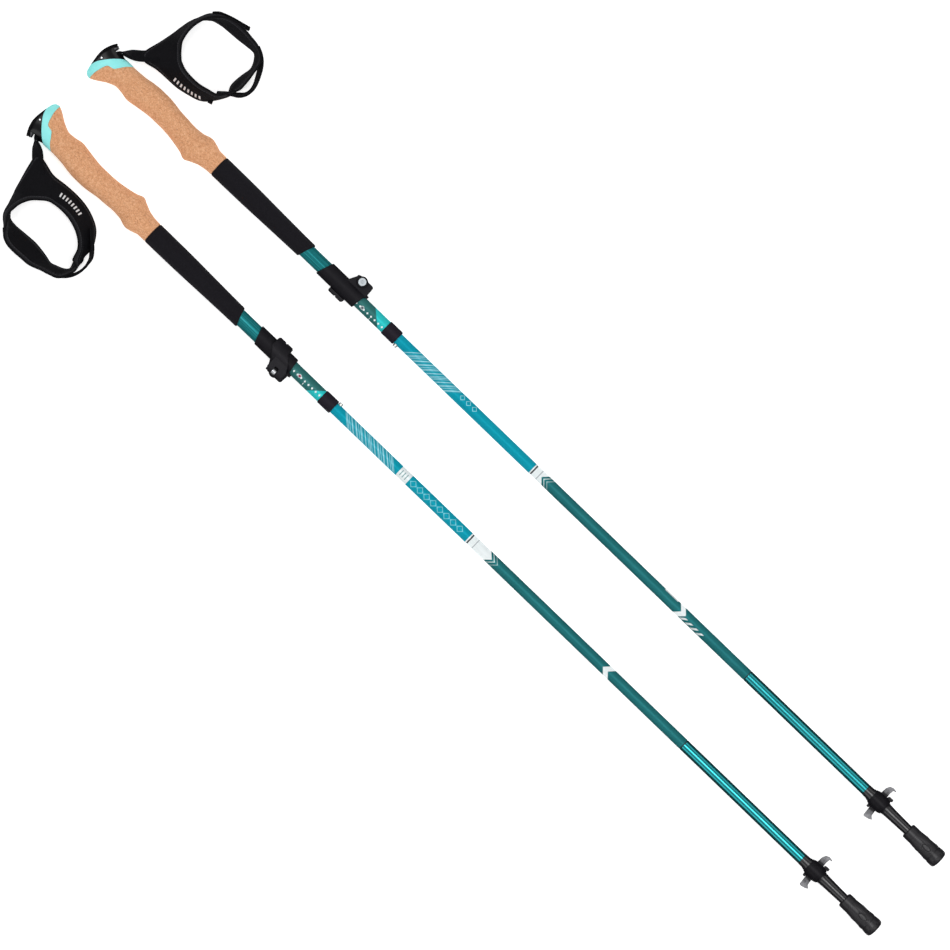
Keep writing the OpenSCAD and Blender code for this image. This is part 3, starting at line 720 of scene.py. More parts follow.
# ------------------------------------------------------------------ grip form
# station, reach of the grip to the beak side
beak_reach = smooth_curve([
    (-300, 3), (-299.4, 8), (-298.6, 13), (-297.6, 18), (-296.5, 22.4), (-293.8, 25.6),
    (-290, 26.5), (-285, 24.4), (-280, 21.3), (-273.8, 17.5), (-263.8, 14.1), (-257.5, 14.6),
    (-247.5, 16.3), (-240, 15.3), (-230, 13.8), (-217.5, 12.5), (-205, 12.5), (-195, 13.1),
    (-182.5, 15), (-173.8, 16.9), (-166, 19.6), (-160, 17), (-150, 13.1), (-140, 11.6),
    (-135.6, 11.5)])
# station, reach to the strap side
strap_reach = smooth_curve([
    (-300, 2), (-299.4, 5), (-298.4, 8.5), (-297, 12), (-295.5, 15), (-293.5, 17.8),
    (-290, 16.4), (-285.6, 15.2), (-276.3, 12), (-265.6, 12), (-250, 12.8), (-240, 14.4),
    (-230, 15.3), (-220, 15.3), (-210, 14.4), (-200, 12.9), (-190, 12.3), (-180, 11.6),
    (-170, 12.3), (-158.8, 15.2), (-150, 13.2), (-145, 11.6), (-135.6, 11.5)])
# station, half thickness as a share of HALF_THICKNESS
thickness_share = smooth_curve([
    (-300, 0.14), (-299.4, 0.42), (-298.4, 0.63), (-297, 0.8), (-294, 0.93), (-290, 0.985),
    (-280, 0.97), (-268, 0.93), (-258, 0.94), (-245, 0.985), (-230, 1), (-215, 0.95),
    (-203, 0.895), (-190, 0.88), (-178, 0.915), (-166, 0.985), (-158, 1), (-150, 0.91),
    (-143, 0.835), (-135.6, 0.81)])
# local y, station where the cap meets the trim ring
cap_edge = smooth_curve([
    (-32, -270), (-16, -272), (-11.9, -276.3), (-8.8, -280), (-3.8, -285), (3.8, -291.3),
    (10.6, -295.6), (16.9, -297.8), (26, -303)])
# local y, station where the trim ring meets the cork
ring_edge = smooth_curve([
    (-32, -262), (-17, -262.5), (-12.1, -265.6), (-7.5, -270), (0, -275), (3.8, -278.8),
    (4.4, -282.8), (5.6, -284.4), (13.8, -287.5), (20, -289), (26, -289.4), (34, -289.6)])
HALF_THICKNESS = 14.2
GRIP_ANGLES = np.linspace(0, TURN, 232, endpoint=False)
# ring spacing over a rounded edge, as shares of its radius
LIP_STEPS = np.array([0, 0.04, 0.14, 0.3, 0.5, 0.75, 1.0])
EDGE_BEND = 6            # rings from a slanted edge in to the bore


def circle(station, radius, angles=GRIP_ANGLES):
    station = np.broadcast_to(station, angles.shape)
    return np.column_stack([station, radius * np.cos(angles), radius * np.sin(angles)])


def grip_surface(station, proud=0.0):
    """Ring of the grip at a station (one, or one per angle), proud mm outside its surface."""
    station, angles = np.broadcast_arrays(np.asarray(station, float), GRIP_ANGLES)
    beak, strap = beak_reach(station) + proud, strap_reach(station) + proud
    half = thickness_share(station) * HALF_THICKNESS + proud
    c, s = [np.sign(v) * np.abs(v) ** 0.92 for v in (np.cos(angles), np.sin(angles))]
    return np.stack([station, (beak - strap) / 2 + (beak + strap) / 2 * c, half * s], -1)


def edge_station(edge, proud=0.0):
    """Station of an edge curve on the grip, per angle, by bisection."""
    low, high = np.full(len(GRIP_ANGLES), -299.9), np.full(len(GRIP_ANGLES), -255.0)
    for _ in range(40):
        middle = (low + high) / 2
        short = middle < edge(grip_surface(middle, proud)[:, 1])
        low, high = np.where(short, middle, low), np.where(short, high, middle)
    return (low + high) / 2


def lip(distance, radius):
    """How far a rounded edge draws in at a distance from its end."""
    distance = np.minimum(distance, radius)
    return radius - np.sqrt(np.maximum(radius * radius - (radius - distance) ** 2, 0))


def inset_ring(station, inset, proud=0.0):
    ring = grip_surface(station, proud)
    centre = (beak_reach(station) - strap_reach(station)) / 2
    radius = np.hypot(ring[:, 1] - centre, ring[:, 2])
    share = 1 - inset / np.maximum(radius, 1e-6)
    ring[:, 1], ring[:, 2] = centre + (ring[:, 1] - centre) * share, ring[:, 2] * share
    return ring


def skin_rings(start, end, count, start_lip, end_lip, proud=0.0):
    """Rings of the grip between two stations, both ends rounded."""
    length = end - start - start_lip - end_lip
    rings = [(start + d, lip(d, start_lip)) for d in LIP_STEPS * start_lip]
    rings += [(start + start_lip + length * share, 0.0)
              for share in np.linspace(0, 1, count)[1:-1]]
    rings += [(end - d, lip(d, end_lip)) for d in (LIP_STEPS * end_lip)[::-1]]
    return [inset_ring(station, inset, proud) for station, inset in rings]


def disc_rings(outer, radius, edge, count):
    """Rings on an edge surface from an outer ring in to a bore circle."""
    bore = circle(0, radius)[:, 1:]
    rise = outer[:, 0] - edge(outer[:, 1])
    rings = []
    for share in np.linspace(0, 1, count + 1)[1:]:
        yz = outer[:, 1:] * (1 - share) + bore * share
        rings.append(np.column_stack([edge(yz[:, 0]) + rise * (1 - share), yz]))
    return rings


def cork_grip(pole, material):
    neck_bore = 7.15
    skin = skin_rings(edge_station(ring_edge), CORK_END, 118, start_lip=0.45, end_lip=0.9)
    bottom = disc_rings(skin[-1], TUBE_BORE, lambda y: np.full_like(y, CORK_END), 2)
    bore = [circle(CORK_TOP_BORE, TUBE_BORE), circle(CORK_TOP_BORE, neck_bore)]
    top = disc_rings(skin[0], neck_bore, ring_edge, EDGE_BEND)
    return loft(pole.part("grip_cork"), pole, skin + bottom + bore + top[::-1], material, True)


def trim_ring(pole, material):
    bore, proud, gap, rounding = 7.12, 0.3, 0.06, 0.42
    skin = skin_rings(edge_station(cap_edge, proud) + gap, edge_station(ring_edge, proud) - gap,
                      16, rounding, rounding, proud)
    bottom = disc_rings(skin[-1], bore, ring_edge, EDGE_BEND)
    top = disc_rings(skin[0], bore, cap_edge, EDGE_BEND)
    return loft(pole.part("grip_trim"), pole, skin + bottom + top[::-1], material, True)


def prism(pole, outline, half):
    """Cutter with an outline of (station, y), reaching half to each side in z."""
    count = len(outline)
    points = [(x, y, z) for z in (-half, half) for x, y in outline]
    faces = [list(range(count)), list(range(count, 2 * count))]
    faces += [[i, (i + 1) % count, count + (i + 1) % count, count + i] for i in range(count)]
    mesh = new_mesh("cutter", pole.row(points).tolist(), faces)
    clean(mesh)
    return new_object("cutter", mesh)


def round_outline(x, y, radius, count=32):
    angles = [TURN * i / count for i in range(count)]
    return [(x + radius * math.cos(a), y + radius * math.sin(a)) for a in angles]


def boolean_cut(ob, cutters):
    for cutter in cutters:
        cut = ob.modifiers.new("cut", "BOOLEAN")
        cut.operation, cut.solver, cut.object = "DIFFERENCE", "EXACT", cutter
    bake(ob)
    for cutter in cutters:
        bpy.data.objects.remove(cutter)
    clean(ob.data, 32)


# strap slot through the cap: station, y
CAP_SLOT = [(-280.9, -20), (-287, -20), (-296, -9), (-297.05, 1.6), (-294.6, 6.8),
            (-291.4, 5.3), (-284.4, -9)]


def top_cap(pole, material):
    rounding, stem_radius, stem_end = 0.4, 7.0, -250
    end = edge_station(cap_edge)
    shares = np.linspace(0, 1, 40) ** 1.8
    rings = [grip_surface(CAP_TOP + (end - rounding - CAP_TOP) * share) for share in shares[:-1]]
    rings += [inset_ring(end - d, lip(d, rounding)) for d in (LIP_STEPS * rounding)[::-1]]
    rings += disc_rings(rings[-1], stem_radius, cap_edge, EDGE_BEND)
    rings += [circle(stem_end - 0.5, stem_radius), circle(stem_end, stem_radius - 0.5)]
    ob = loft(pole.part("cap"), pole, rings, material,
              fans=[(0, (CAP_TOP - 0.05, 0.5, 0)), (len(rings) - 1, (stem_end, 0, 0))],
              sharp=None)
    boolean_cut(ob, [prism(pole, CAP_SLOT, 9.8),
                     prism(pole, round_outline(-294, 3.4, 1.02), 20),
                     prism(pole, round_outline(-291.6, -18, 1.6), 20)])
    return ob


# station, radius of the foam
foam_radius = smooth_curve([(-135.4, 11.6), (-134.0, 11.7), (-100, 11.5), (-50, 10.4),
                            (-17.5, 9.8), (-5, 9.75)])


def foam_grip(pole, material):
    """Foam sleeve below the cork, its lower end cut on a slant."""
    def end(y):
        return -13.5 - 3.8 * y / 12

    rounding, nominal = 1.2, 118
    cosine = np.cos(GRIP_ANGLES)
    end_station = end(9.8 * cosine)
    near = np.array([0, 0.1, 0.3, 0.55, 0.85, rounding])
    rings = [circle(FOAM_START + d, foam_radius(FOAM_START + d) - lip(d, rounding))
             for d in near]
    for d in rounding + (nominal - rounding) * np.linspace(0, 1, 60)[1:]:
        station = FOAM_START + d / nominal * (end_station - rounding - FOAM_START)
        rings.append(circle(station, foam_radius(station) - lip(d, rounding)))
    for d in near[::-1]:
        station = end_station - d
        rings.append(circle(station, foam_radius(station) - lip(d, rounding)))
    rings += [circle(end(TUBE_BORE * cosine), TUBE_BORE), circle(FOAM_START, TUBE_BORE)]
    return loft(pole.part("foam"), pole, rings, material, True)


# ------------------------------------------------------------------ parts from the CAD solids
def copy_node(node, name, material):
    ob = new_object(name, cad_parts[node].data.copy())
    set_material(ob.data, material)
    return ob


def softened(node, name, material, voxel):
    """A CAD solid with its edges melted round; voxel in mm."""
    ob = copy_node(node, name, material)
    weld = ob.modifiers.new("weld", "WELD")
    weld.merge_threshold = 1e-6
    remesh = ob.modifiers.new("vox", "REMESH")
    remesh.mode, remesh.voxel_size, remesh.use_smooth_shade = "VOXEL", voxel * MM, True
    soften = ob.modifiers.new("soft", "SMOOTH")
    soften.factor, soften.iterations = 0.5, 6
    bake(ob)
    set_material(ob.data, material)
    ob.data.polygons.foreach_set("use_smooth", [True] * len(ob.data.polygons))
    return ob


# ------------------------------------------------------------------ boot and cord
# station, outer radius
boot_radius = smooth_curve([
    (825, 7.4), (825.5, 7.95), (826.4, 8.15), (832.4, 8.25), (833.4, 8.1), (841, 8.7),
    (851, 9.15), (858.2, 9.55), (862, 9.85), (864.6, 10.0), (866.2, 9.85), (867.6, 9.2),
    (868.6, 7.6), (869, 5.4)])
# station, radius of the socket, from its bottom up to the mouth
BOOT_SOCKET = [(859.5, 2.6), (855, 2.62), (853, 3.72), (850.4, 3.76), (843.2, 5.16),
               (829.2, 5.36), (825, 5.6)]
# station, radius of the recess in the sole
SOLE_RECESS = [(868.9, 3.6), (868.4, 3.4), (868.4, 1.6), (868.9, 1.4)]
# runs of ring stations: first, last, count
BOOT_RUNS = [(825, 826.4, 6), (826.8, 832.2, 8), (832.5, 833.8, 6), (834.3, 857, 60),
             (857.3, 860.2, 14), (860.6, 868.6, 26), (869, 869, 1)]


def boot_ring(station, angles):
    radius = float(boot_radius(station)) * np.ones(len(angles))
    # four oval pockets, each with a raised rim
    for k in range(4):
        turn = (angles - math.pi / 2 * k + math.pi) % TURN - math.pi
        oval = ((station - 849.5) / 5.0) ** 2 + (turn * radius / 2.2) ** 2
        radius = radius - 0.8 * np.clip(1.25 - oval, 0, 0.5) * 2
        radius = radius + 0.3 * np.exp(-((oval - 1.6) / 0.35) ** 2)
    # shallow flutes between the cuff and the foot
    if 835 < station < 857:
        fade = math.sin(math.pi * (station - 835) / 22) ** 0.5
        clear = np.abs((angles * 2 / math.pi + 0.5) % 1 - 0.5) > 0.2
        radius = radius + 0.26 * fade * np.cos(angles * 24) ** 2 * clear
    # groove above the foot
    radius = radius - 0.42 * math.exp(-((station - 858.6) / 0.6) ** 2)
    # tread notches round the sole
    if station > 863.5:
        radius = radius - 0.7 * min(1.0, (station - 863.5) / 1.5) * (np.cos(angles * 12) > 0.55)
    return circle(station, np.minimum(radius, 10.0), angles)


def rubber_boot(pole, material):
    angles = np.linspace(0, TURN, 168, endpoint=False)
    rings = [circle(station, radius, angles) for station, radius in BOOT_SOCKET]
    for run in BOOT_RUNS:
        rings += [boot_ring(station, angles) for station in np.linspace(*run)]
    rings += [circle(station, radius, angles) for station, radius in SOLE_RECESS]
    return loft(pole.part("boot"), pole, rings, material, low=True, sharp=48,
                fans=[(0, (859.6, 0, 0)), (len(rings) - 1, (868.9, 0, 0))])


def cord(pole, name, start, end, material, step=4.0):
    angles = np.linspace(0, TURN, 20, endpoint=False)
    stations = np.linspace(start, end, max(2, int(abs(end - start) / step) + 1))
    rings = [circle(station, CORD_RADIUS, angles) for station in stations]
    return loft(pole.part(name), pole, rings, material, low=True,
                fans=[(0, (start, 0, 0)), (len(rings) - 1, (end, 0, 0))])


# ------------------------------------------------------------------ straps
def arc_lengths(points):
    return np.concatenate([[0], np.cumsum(np.linalg.norm(np.diff(points, axis=0), axis=1))])


def unit(vectors):
    return vectors / np.maximum(np.linalg.norm(vectors, axis=-1, keepdims=True), 1e-9)


def resample(rows, closed, step):
    """Catmull-Rom through rows that start with two edge points, at equal steps."""
    rows = np.array(rows, float)
    count = len(rows)
    fine = []
    for i in range(count if closed else count - 1):
        a, b, c, d = [rows[j % count if closed else min(max(j, 0), count - 1)]
                      for j in (i - 1, i, i + 1, i + 2)]
        for u in np.linspace(0, 1, 24, endpoint=False):
            fine.append(0.5 * (2 * b + (c - a) * u + (2 * a - 5 * b + 4 * c - d) * u * u
                               + (3 * b - a - 3 * c + d) * u ** 3))
    fine.append(fine[0] if closed else rows[-1])
    fine = np.array(fine)
    middle = (fine[:, 0:2] + fine[:, 2:4]) / 2
    # the first edge weighs in too, so a fan doesn't bunch up
    arc = 0.6 * arc_lengths(middle) + 0.4 * arc_lengths(fine[:, 0:2])
    at = np.linspace(0, arc[-1], int(round(arc[-1] / step)), endpoint=not closed)
    return np.stack([np.interp(at, arc, column) for column in fine.T], 1)


def blur(values, sigma):
    """Gaussian blur round a closed loop."""
    reach = int(3 * sigma) + 1
    offsets = np.arange(-reach, reach + 1)
    weights = np.exp(-0.5 * (offsets / sigma) ** 2)
    weights /= weights.sum()
    return sum(w * np.roll(values, -k, axis=0) for k, w in zip(offsets, weights))


def band_mesh(name, pole, top, bottom, bulge, thick, edge_thick, kind, closed, material,
              columns, soft):
    """Padded ribbon between two edge curves (flat frame, mm), thinning over soft mm to its edges.

    Returns the object and each vertex's distance from the nearer edge.
    """
    count = len(top)
    even = np.linspace(-1, 1, columns)
    v = 0.55 * np.sin(even * math.pi / 2) + 0.45 * even
    sheet = ((top + bottom)[:, None] / 2 + v[None, :, None] * (top - bottom)[:, None] / 2
             + bulge[:, None] * (1 - v ** 2)[None, :, None])
    if closed:
        along = np.roll(sheet, -1, 0) - np.roll(sheet, 1, 0)
    else:
        along = np.gradient(sheet, axis=0)
    normal = unit(np.cross(along, np.gradient(sheet, axis=1)))
    if closed and normal[0, columns // 2, 2] < 0:
        normal = -normal
    width = np.linalg.norm(np.diff(sheet, axis=1), axis=2).sum(1)
    edge = (1 - np.abs(v))[None, :] * width[:, None] / 2
    swell = np.clip(edge / soft, 0, 1)
    swell = swell * swell * (3 - 2 * swell)
    half = (edge_thick[:, None] + (thick - edge_thick)[:, None] * swell) / 2
    half = (half * np.sqrt(np.maximum(1 - np.abs(v)[None, :] ** 14, 0)))[..., None]

    def around(outer, inner):
        """Outer face, then the underside back, without repeating the edges."""
        return np.concatenate([outer, inner[:, -2:0:-1]], 1)

    section = around(sheet + normal * half, sheet - normal * half)
    size = section.shape[1]
    u = arc_lengths(sheet[:, columns // 2])
    seam = u[-1] + np.linalg.norm(sheet[0, columns // 2] - sheet[-1, columns // 2])
    faces = grid_faces(count, size, closed, True)
    if not closed:
        faces += [list(range(size)), list(range((count - 1) * size, count * size))]
    mesh = new_mesh(name, pole.flat(section).reshape(-1, 3).tolist(), faces, material)
    v_around = around(v[None], v[None])[0]
    uv = np.zeros((len(mesh.loops), 2))
    for polygon in mesh.polygons:
        rows, cols = zip(*(divmod(i, size) for i in polygon.vertices))
        wraps = closed and max(rows) == count - 1 and min(rows) == 0
        inner = len(rows) == 4 and (max(cols) > columns - 1
                                    or (min(cols) == 0 and max(cols) == size - 1))
        for loop, i, j in zip(polygon.loop_indices, rows, cols):
            uv[loop] = (seam if wraps and i == 0 else u[i],
                        v_around[j] * width[i] / 2 + (INNER_UV if inner else 0))
    set_uv(mesh, uv)
    edge = around(edge, edge).ravel()
    set_attribute(mesh, "edge", edge)
    set_attribute(mesh, "kind", np.repeat(kind, size))
    clean(mesh)
    return new_object(name, mesh), edge


def strap_shape(rows):
    """Edge curves, bulge, thickness and kind of the band, from the rows of a band table."""
    rows = resample(rows, True, step=1.35)
    hole, outer = blur(rows[:, 0:2], 1.05), blur(rows[:, 2:4], 1.05)
    stands = np.clip(blur(rows[:, 4], 2.5), 0, 1)
    width, thick = blur(rows[:, 5], 3), blur(rows[:, 6], 3)
    kind = np.clip(blur(rows[:, 7], 1.5), 0, 1)
    seen = np.linalg.norm(outer - hole, axis=1)
    across = (outer - hole) / seen[:, None]
    # tilt at which the band's width and thickness cover the breadth seen from above
    low, high = np.zeros(len(seen)), np.full(len(seen), math.pi / 2)
    for _ in range(40):
        tilt = (low + high) / 2
        wide = width * np.cos(tilt) + 2.3 * np.sin(tilt) > seen
        low, high = np.where(wide, tilt, low), np.where(wide, high, tilt)
    tilt = np.where(seen >= width, 0, (low + high) / 2)
    inset = np.minimum(np.maximum(1.2 * np.sin(tilt), 0.9), seen * 0.42)
    hole, outer = hole + across * inset[:, None], outer - across * inset[:, None]
    share = stands[:, None]
    bow = 1 - np.abs(2 * share - 1)
    middle = (hole + outer) / 2
    top = hole + share * (outer - hole) + bow * (hole - middle)
    bottom = outer + share * (hole - outer) + bow * (hole - middle)
    spread = np.linalg.norm(top - bottom, axis=1)
    height = np.sqrt(np.maximum((width * (1 - 0.12 * bow[:, 0])) ** 2 - spread ** 2, 0)) / 2
    height = np.minimum(blur(height, 3.0), 11.6)
    return (np.column_stack([top, height]), np.column_stack([bottom, -height]),
            np.column_stack([(outer - hole) * bow, np.zeros(len(seen))]), thick, kind)


PUFF_FRAMES = 14
PUFF_LIMIT = 1.0         # furthest the padding may swell, mm
PINNED_EDGE = 3.6        # breadth of the held edge, mm
CLOTH = dict(quality=5, mass=0.12, tension_stiffness=18, compression_stiffness=18,
             shear_stiffness=8, bending_stiffness=0.6, vertex_group_mass="pin",
             use_pressure=True, uniform_pressure_force=4.0)


def coordinates(mesh):
    points = np.zeros(len(mesh.vertices) * 3, np.float32)
    mesh.vertices.foreach_get("co", points)
    return points.reshape(-1, 3).astype(float)


def puff(ob, edge):
    """Pressure cloth with the bound edges held, so the padding swells between them."""
    mesh = ob.data
    rest = coordinates(mesh)
    pin = ob.vertex_groups.new(name="pin")
    pin.add(np.flatnonzero(edge < PINNED_EDGE).tolist(), 1.0, "REPLACE")
    cloth = ob.modifiers.new("cloth", "CLOTH")
    for name, value in CLOTH.items():
        setattr(cloth.settings, name, value)
    cloth.settings.effector_weights.gravity = 0
    cloth.collision_settings.use_collision = False
    cloth.collision_settings.use_self_collision = False
    cloth.point_cache.frame_start, cloth.point_cache.frame_end = 1, PUFF_FRAMES
    for number in range(1, PUFF_FRAMES + 1):
        scene.frame_set(number)
    depsgraph = bpy.context.evaluated_depsgraph_get()
    move = coordinates(ob.evaluated_get(depsgraph).data) - rest
    ob.modifiers.remove(cloth)
    scene.frame_set(1)
    length = np.linalg.norm(move, axis=1, keepdims=True)
    length = np.where(np.isfinite(length), length, 0)
    move = np.where(np.isfinite(move), move, 0)
    move = move * np.minimum(1.0, PUFF_LIMIT * MM / np.maximum(length, 1e-9))
    mesh.vertices.foreach_set("co", (rest + move).astype(np.float32).ravel())
    mesh.update()


def piping(name, pole, line, radius, material):
    """Round cord along a closed curve in the flat frame, with a radius per point."""
    size = 10
    along = unit(np.roll(line, -1, 0) - np.roll(line, 1, 0))
    level = unit(np.cross(along, [0.0, 0.0, 1.0]))[:, None]
    upright = np.cross(level, along[:, None])
    angles = np.linspace(0, TURN, size, endpoint=False)[None, :, None]
    points = line[:, None] + radius[:, None, None] * (np.cos(angles) * level
                                                      + np.sin(angles) * upright)
    mesh = new_mesh(name, pole.flat(points).reshape(-1, 3).tolist(),
                    grid_faces(len(line), size, True, True), material)
    u = arc_lengths(line)
    uv = np.zeros((len(mesh.loops), 2))
    for polygon in mesh.polygons:
        for loop, i in zip(polygon.loop_indices, polygon.vertices):
            uv[loop] = (u[i // size], (i % size) * TURN * 1.1 / size)
    set_uv(mesh, uv)
    clean(mesh)
    return new_object(name, mesh)


# Band columns: hole edge station and distance, outer edge station and distance, which edge
# stands up (0 the hole edge, 1 the outer one), width (0 lies flat), thickness, kind (0 padded,
# 1 webbing). Every other path is (station, distance to the strap side). tail_half holds the
# distances and the half breadths seen from above of the loose layer.
STRAPS = {
    "left": dict(
        band=[
            (-240.1, 55.6, -273.0, 22.6, 0, 0, 4.6, 0), (-232.7, 49.8, -262.0, 24.2, 0, 0, 4.8, 0),
            (-225.1, 47.7, -247.7, 27.6, 0, 24, 4.8, 0), (-216.3, 47.0, -232.0, 26.0, 0, 26, 4.8, 0),
            (-207.0, 47.6, -216.3, 25.4, 0, 26, 4.8, 0), (-198.2, 49.6, -203.0, 26.7, 0, 26, 4.8, 0),
            (-189.4, 53.3, -190.2, 30.6, 0, 26, 4.6, 0),
            (-182.2, 58.4, -178.4, 37.6, 0, 25, 4.2, 0.2),
            (-178.0, 63.6, -168.8, 51.4, 0, 24, 3.6, 1), (-176.2, 68.1, -167.1, 58.5, 0.1, 22, 3.2, 1),
            (-175.2, 72.5, -166.6, 65.1, 0.3, 20, 2.8, 1),
            (-173.0, 78.4, -164.8, 72.0, 0.7, 20, 2.6, 1),
            (-171.6, 84.2, -162.7, 79.2, 1, 20, 2.6, 1), (-177.2, 88.0, -169.5, 96.9, 1, 20, 2.6, 1),
            (-183.0, 90.2, -179.5, 102.0, 1, 20, 2.6, 1),
            (-188.8, 92.1, -189.4, 104.8, 1, 22, 3.2, 0.8),
            (-196.2, 90.8, -201.6, 108.9, 1, 26, 4.6, 0), (-203.8, 89.5, -211.6, 109.6, 1, 26, 4.8, 0),
            (-213.1, 88.5, -221.9, 110.2, 1, 26, 4.8, 0), (-222.8, 88.9, -231.8, 109.6, 1, 26, 4.8, 0),
            (-231.6, 89.6, -240.6, 105.6, 1, 26, 4.8, 0),
            (-241.4, 89.9, -247.8, 99.2, 0.85, 26, 4.8, 0),
            (-250.0, 87.6, -255.4, 89.6, 0.5, 26, 4.8, 0),
            (-250.6, 78.8, -261.4, 78.6, 0.12, 26, 4.8, 0),
            (-249.4, 70.3, -265.2, 65.8, 0, 26, 4.8, 0), (-246.2, 62.2, -268.6, 49.2, 0, 26, 4.8, 0),
            (-243.4, 58.7, -272.0, 33.4, 0, 0, 4.6, 0)],
        tail=[(-183.0, 39.8), (-176.4, 46.0), (-169.8, 51.8), (-165.2, 56.9), (-162.2, 61.3),
              (-160.9, 66.5), (-160.3, 71.7), (-160.8, 77.8), (-163.1, 84.7), (-168.2, 91.8),
              (-175.6, 97.4), (-185.0, 101.2)],
        tail_half=([39, 52, 58, 63, 68, 74, 80, 90, 101],
                   [2.0, 2.8, 2.9, 2.3, 1.7, 1.45, 1.6, 2.0, 2.0]),
        tab=[(-245.8, 99.4), (-239.8, 104.6), (-231.6, 107.9), (-222.0, 108.8), (-212.0, 108.5),
             (-204.6, 107.6)],
        neck=[(-292.6, -3.6), (-291.2, 1.0), (-288.2, 7.0), (-284.6, 13.4), (-279.6, 18.0),
              (-273.4, 22.8), (-266.0, 30.0), (-258.6, 37.4)],
        bars=(-229.0, -199.0), bar_centre=0.2, bar_half=2.5),
    "right": dict(
        band=[
            (-242.2, 56.4, -268.4, 24.8, 0, 0, 4.6, 0), (-238.6, 52.8, -260.0, 23.6, 0, 0, 4.8, 0),
            (-234.8, 49.6, -249.5, 26.2, 0, 26, 4.8, 0), (-225.6, 46.2, -237.0, 27.0, 0, 26, 4.8, 0),
            (-214.2, 45.1, -222.4, 27.4, 0, 26, 4.8, 0), (-204.4, 45.7, -208.4, 30.0, 0, 26, 4.8, 0),
            (-194.6, 48.1, -195.6, 34.0, 0, 26, 4.6, 0),
            (-186.1, 50.7, -186.0, 42.6, 0.05, 25, 3.4, 0.3),
            (-180.7, 57.6, -177.8, 54.4, 0.5, 22, 2.8, 1),
            (-183.9, 65.6, -171.9, 65.6, 0.95, 20, 2.6, 1),
            (-184.2, 73.0, -171.8, 74.6, 1, 20, 2.6, 1), (-183.1, 82.6, -172.4, 84.4, 1, 20, 2.6, 1),
            (-181.6, 91.6, -173.0, 92.6, 0.95, 20, 2.6, 1),
            (-184.1, 99.0, -175.8, 104.2, 1, 20, 2.6, 1),
            (-188.9, 105.0, -183.0, 111.2, 1, 20, 2.8, 1),
            (-193.4, 105.8, -191.0, 114.6, 1, 22, 3.4, 0.5),
            (-200.8, 105.3, -199.6, 115.6, 1, 26, 4.6, 0),
            (-210.1, 104.3, -209.0, 116.6, 1, 26, 4.8, 0),
            (-221.6, 103.6, -221.6, 116.2, 1, 26, 4.8, 0),
            (-232.7, 102.6, -233.6, 113.2, 0.95, 26, 4.8, 0),
            (-243.4, 99.2, -245.2, 105.4, 0.6, 26, 4.6, 0),
            (-247.6, 91.0, -253.6, 94.2, 0.12, 26, 4.6, 0),
            (-249.5, 82.2, -258.2, 84.2, 0, 26, 4.6, 0), (-248.9, 72.4, -260.6, 74.4, 0, 26, 4.8, 0),
            (-246.9, 64.0, -262.4, 61.4, 0, 26, 4.8, 0), (-244.9, 60.2, -264.6, 46.6, 0, 26, 4.8, 0),
            (-243.4, 57.9, -267.8, 34.0, 0, 0, 4.6, 0)],
        tail=[(-188.0, 51.4), (-181.4, 57.0), (-175.6, 61.2), (-170.3, 65.0), (-166.6, 69.2),
              (-165.0, 73.6), (-164.8, 78.8), (-166.2, 84.6), (-169.2, 91.2), (-173.2, 98.4),
              (-177.8, 104.6), (-183.8, 109.4), (-190.0, 112.4)],
        tail_half=([53, 61, 65, 69, 73, 78, 84, 91, 98, 105, 112],
                   [2.0, 2.5, 3.2, 2.7, 2.4, 2.5, 2.6, 3.0, 3.2, 2.8, 2.2]),
        tab=[(-246.0, 106.0), (-241.0, 110.8), (-234.0, 113.8), (-226.0, 116.4), (-217.0, 118.6),
             (-208.4, 120.8)],
        neck=[(-292.6, -3.6), (-291.2, 1.0), (-288.2, 7.0), (-284.4, 13.4), (-277.4, 18.8),
              (-269.0, 24.4), (-262.4, 30.6), (-255.6, 38.0)],
        tag=[(-188.6, 46.0), (-187.3, 42.2), (-186.0, 38.5)],
        bars=(-229.0, -197.0), bar_centre=-4.4, bar_half=2.7)}


def ribbon_line(path, step=1.4):
    """Even points along a path, and the level direction square to it."""
    line = resample([(*point, *point) for point in path], False, step)[:, :2]
    along = unit(np.gradient(line, axis=0))
    return line, np.column_stack([along[:, 1], -along[:, 0]])


def at_height(points, height):
    return np.column_stack([points, np.broadcast_to(height, len(points))])


def ribbon(pole, name, top, bottom, thick, edge_thick, material, columns=15, soft=2.0):
    """Open strip of webbing."""
    count = len(top)
    return band_mesh(pole.part(name), pole, top, bottom, np.zeros((count, 3)),
                     np.full(count, thick), np.full(count, edge_thick), np.ones(count), False,
                     material, columns, soft)[0]


def wrist_band(pole, strap):
    """The padded loop with piping along both edges."""
    top, bottom, bulge, thick, kind = strap_shape(strap["band"])
    middle = (top + bottom) / 2
    arc = arc_lengths(middle + bulge)
    near_arm = (middle[:, 1] < 46) & (np.arange(len(middle)) < len(middle) * 0.4)
    start, end = [float(np.interp(station, middle[near_arm][:, 0], arc[near_arm]))
                  for station in strap["bars"]]
    fabric = band_material(pole, start, end, strap["bar_centre"], strap["bar_half"])
    edge_thick = blur(np.where(kind > 0.5, thick * 0.8, 2.4), 3)
    band, edge = band_mesh(pole.part("wrist_band"), pole, top, bottom, bulge, thick, edge_thick,
                           kind, True, fabric, columns=25, soft=4.5)
    puff(band, edge)
    subdivision = band.modifiers.new("round", "SUBSURF")
    subdivision.levels = subdivision.render_levels = 1
    put(band, pole.part("strap"), "padded_fabric", pole.part("strap_band"))
    webbing = webbing_material(pole.part("webbing"))
    for name, line in (("piping_inner", top), ("piping_outer", bottom)):
        pipe = piping(pole.part(name), pole, line, 1.15 - 0.2 * kind, webbing)
        put(pipe, pole.part("strap"), "padded_fabric")


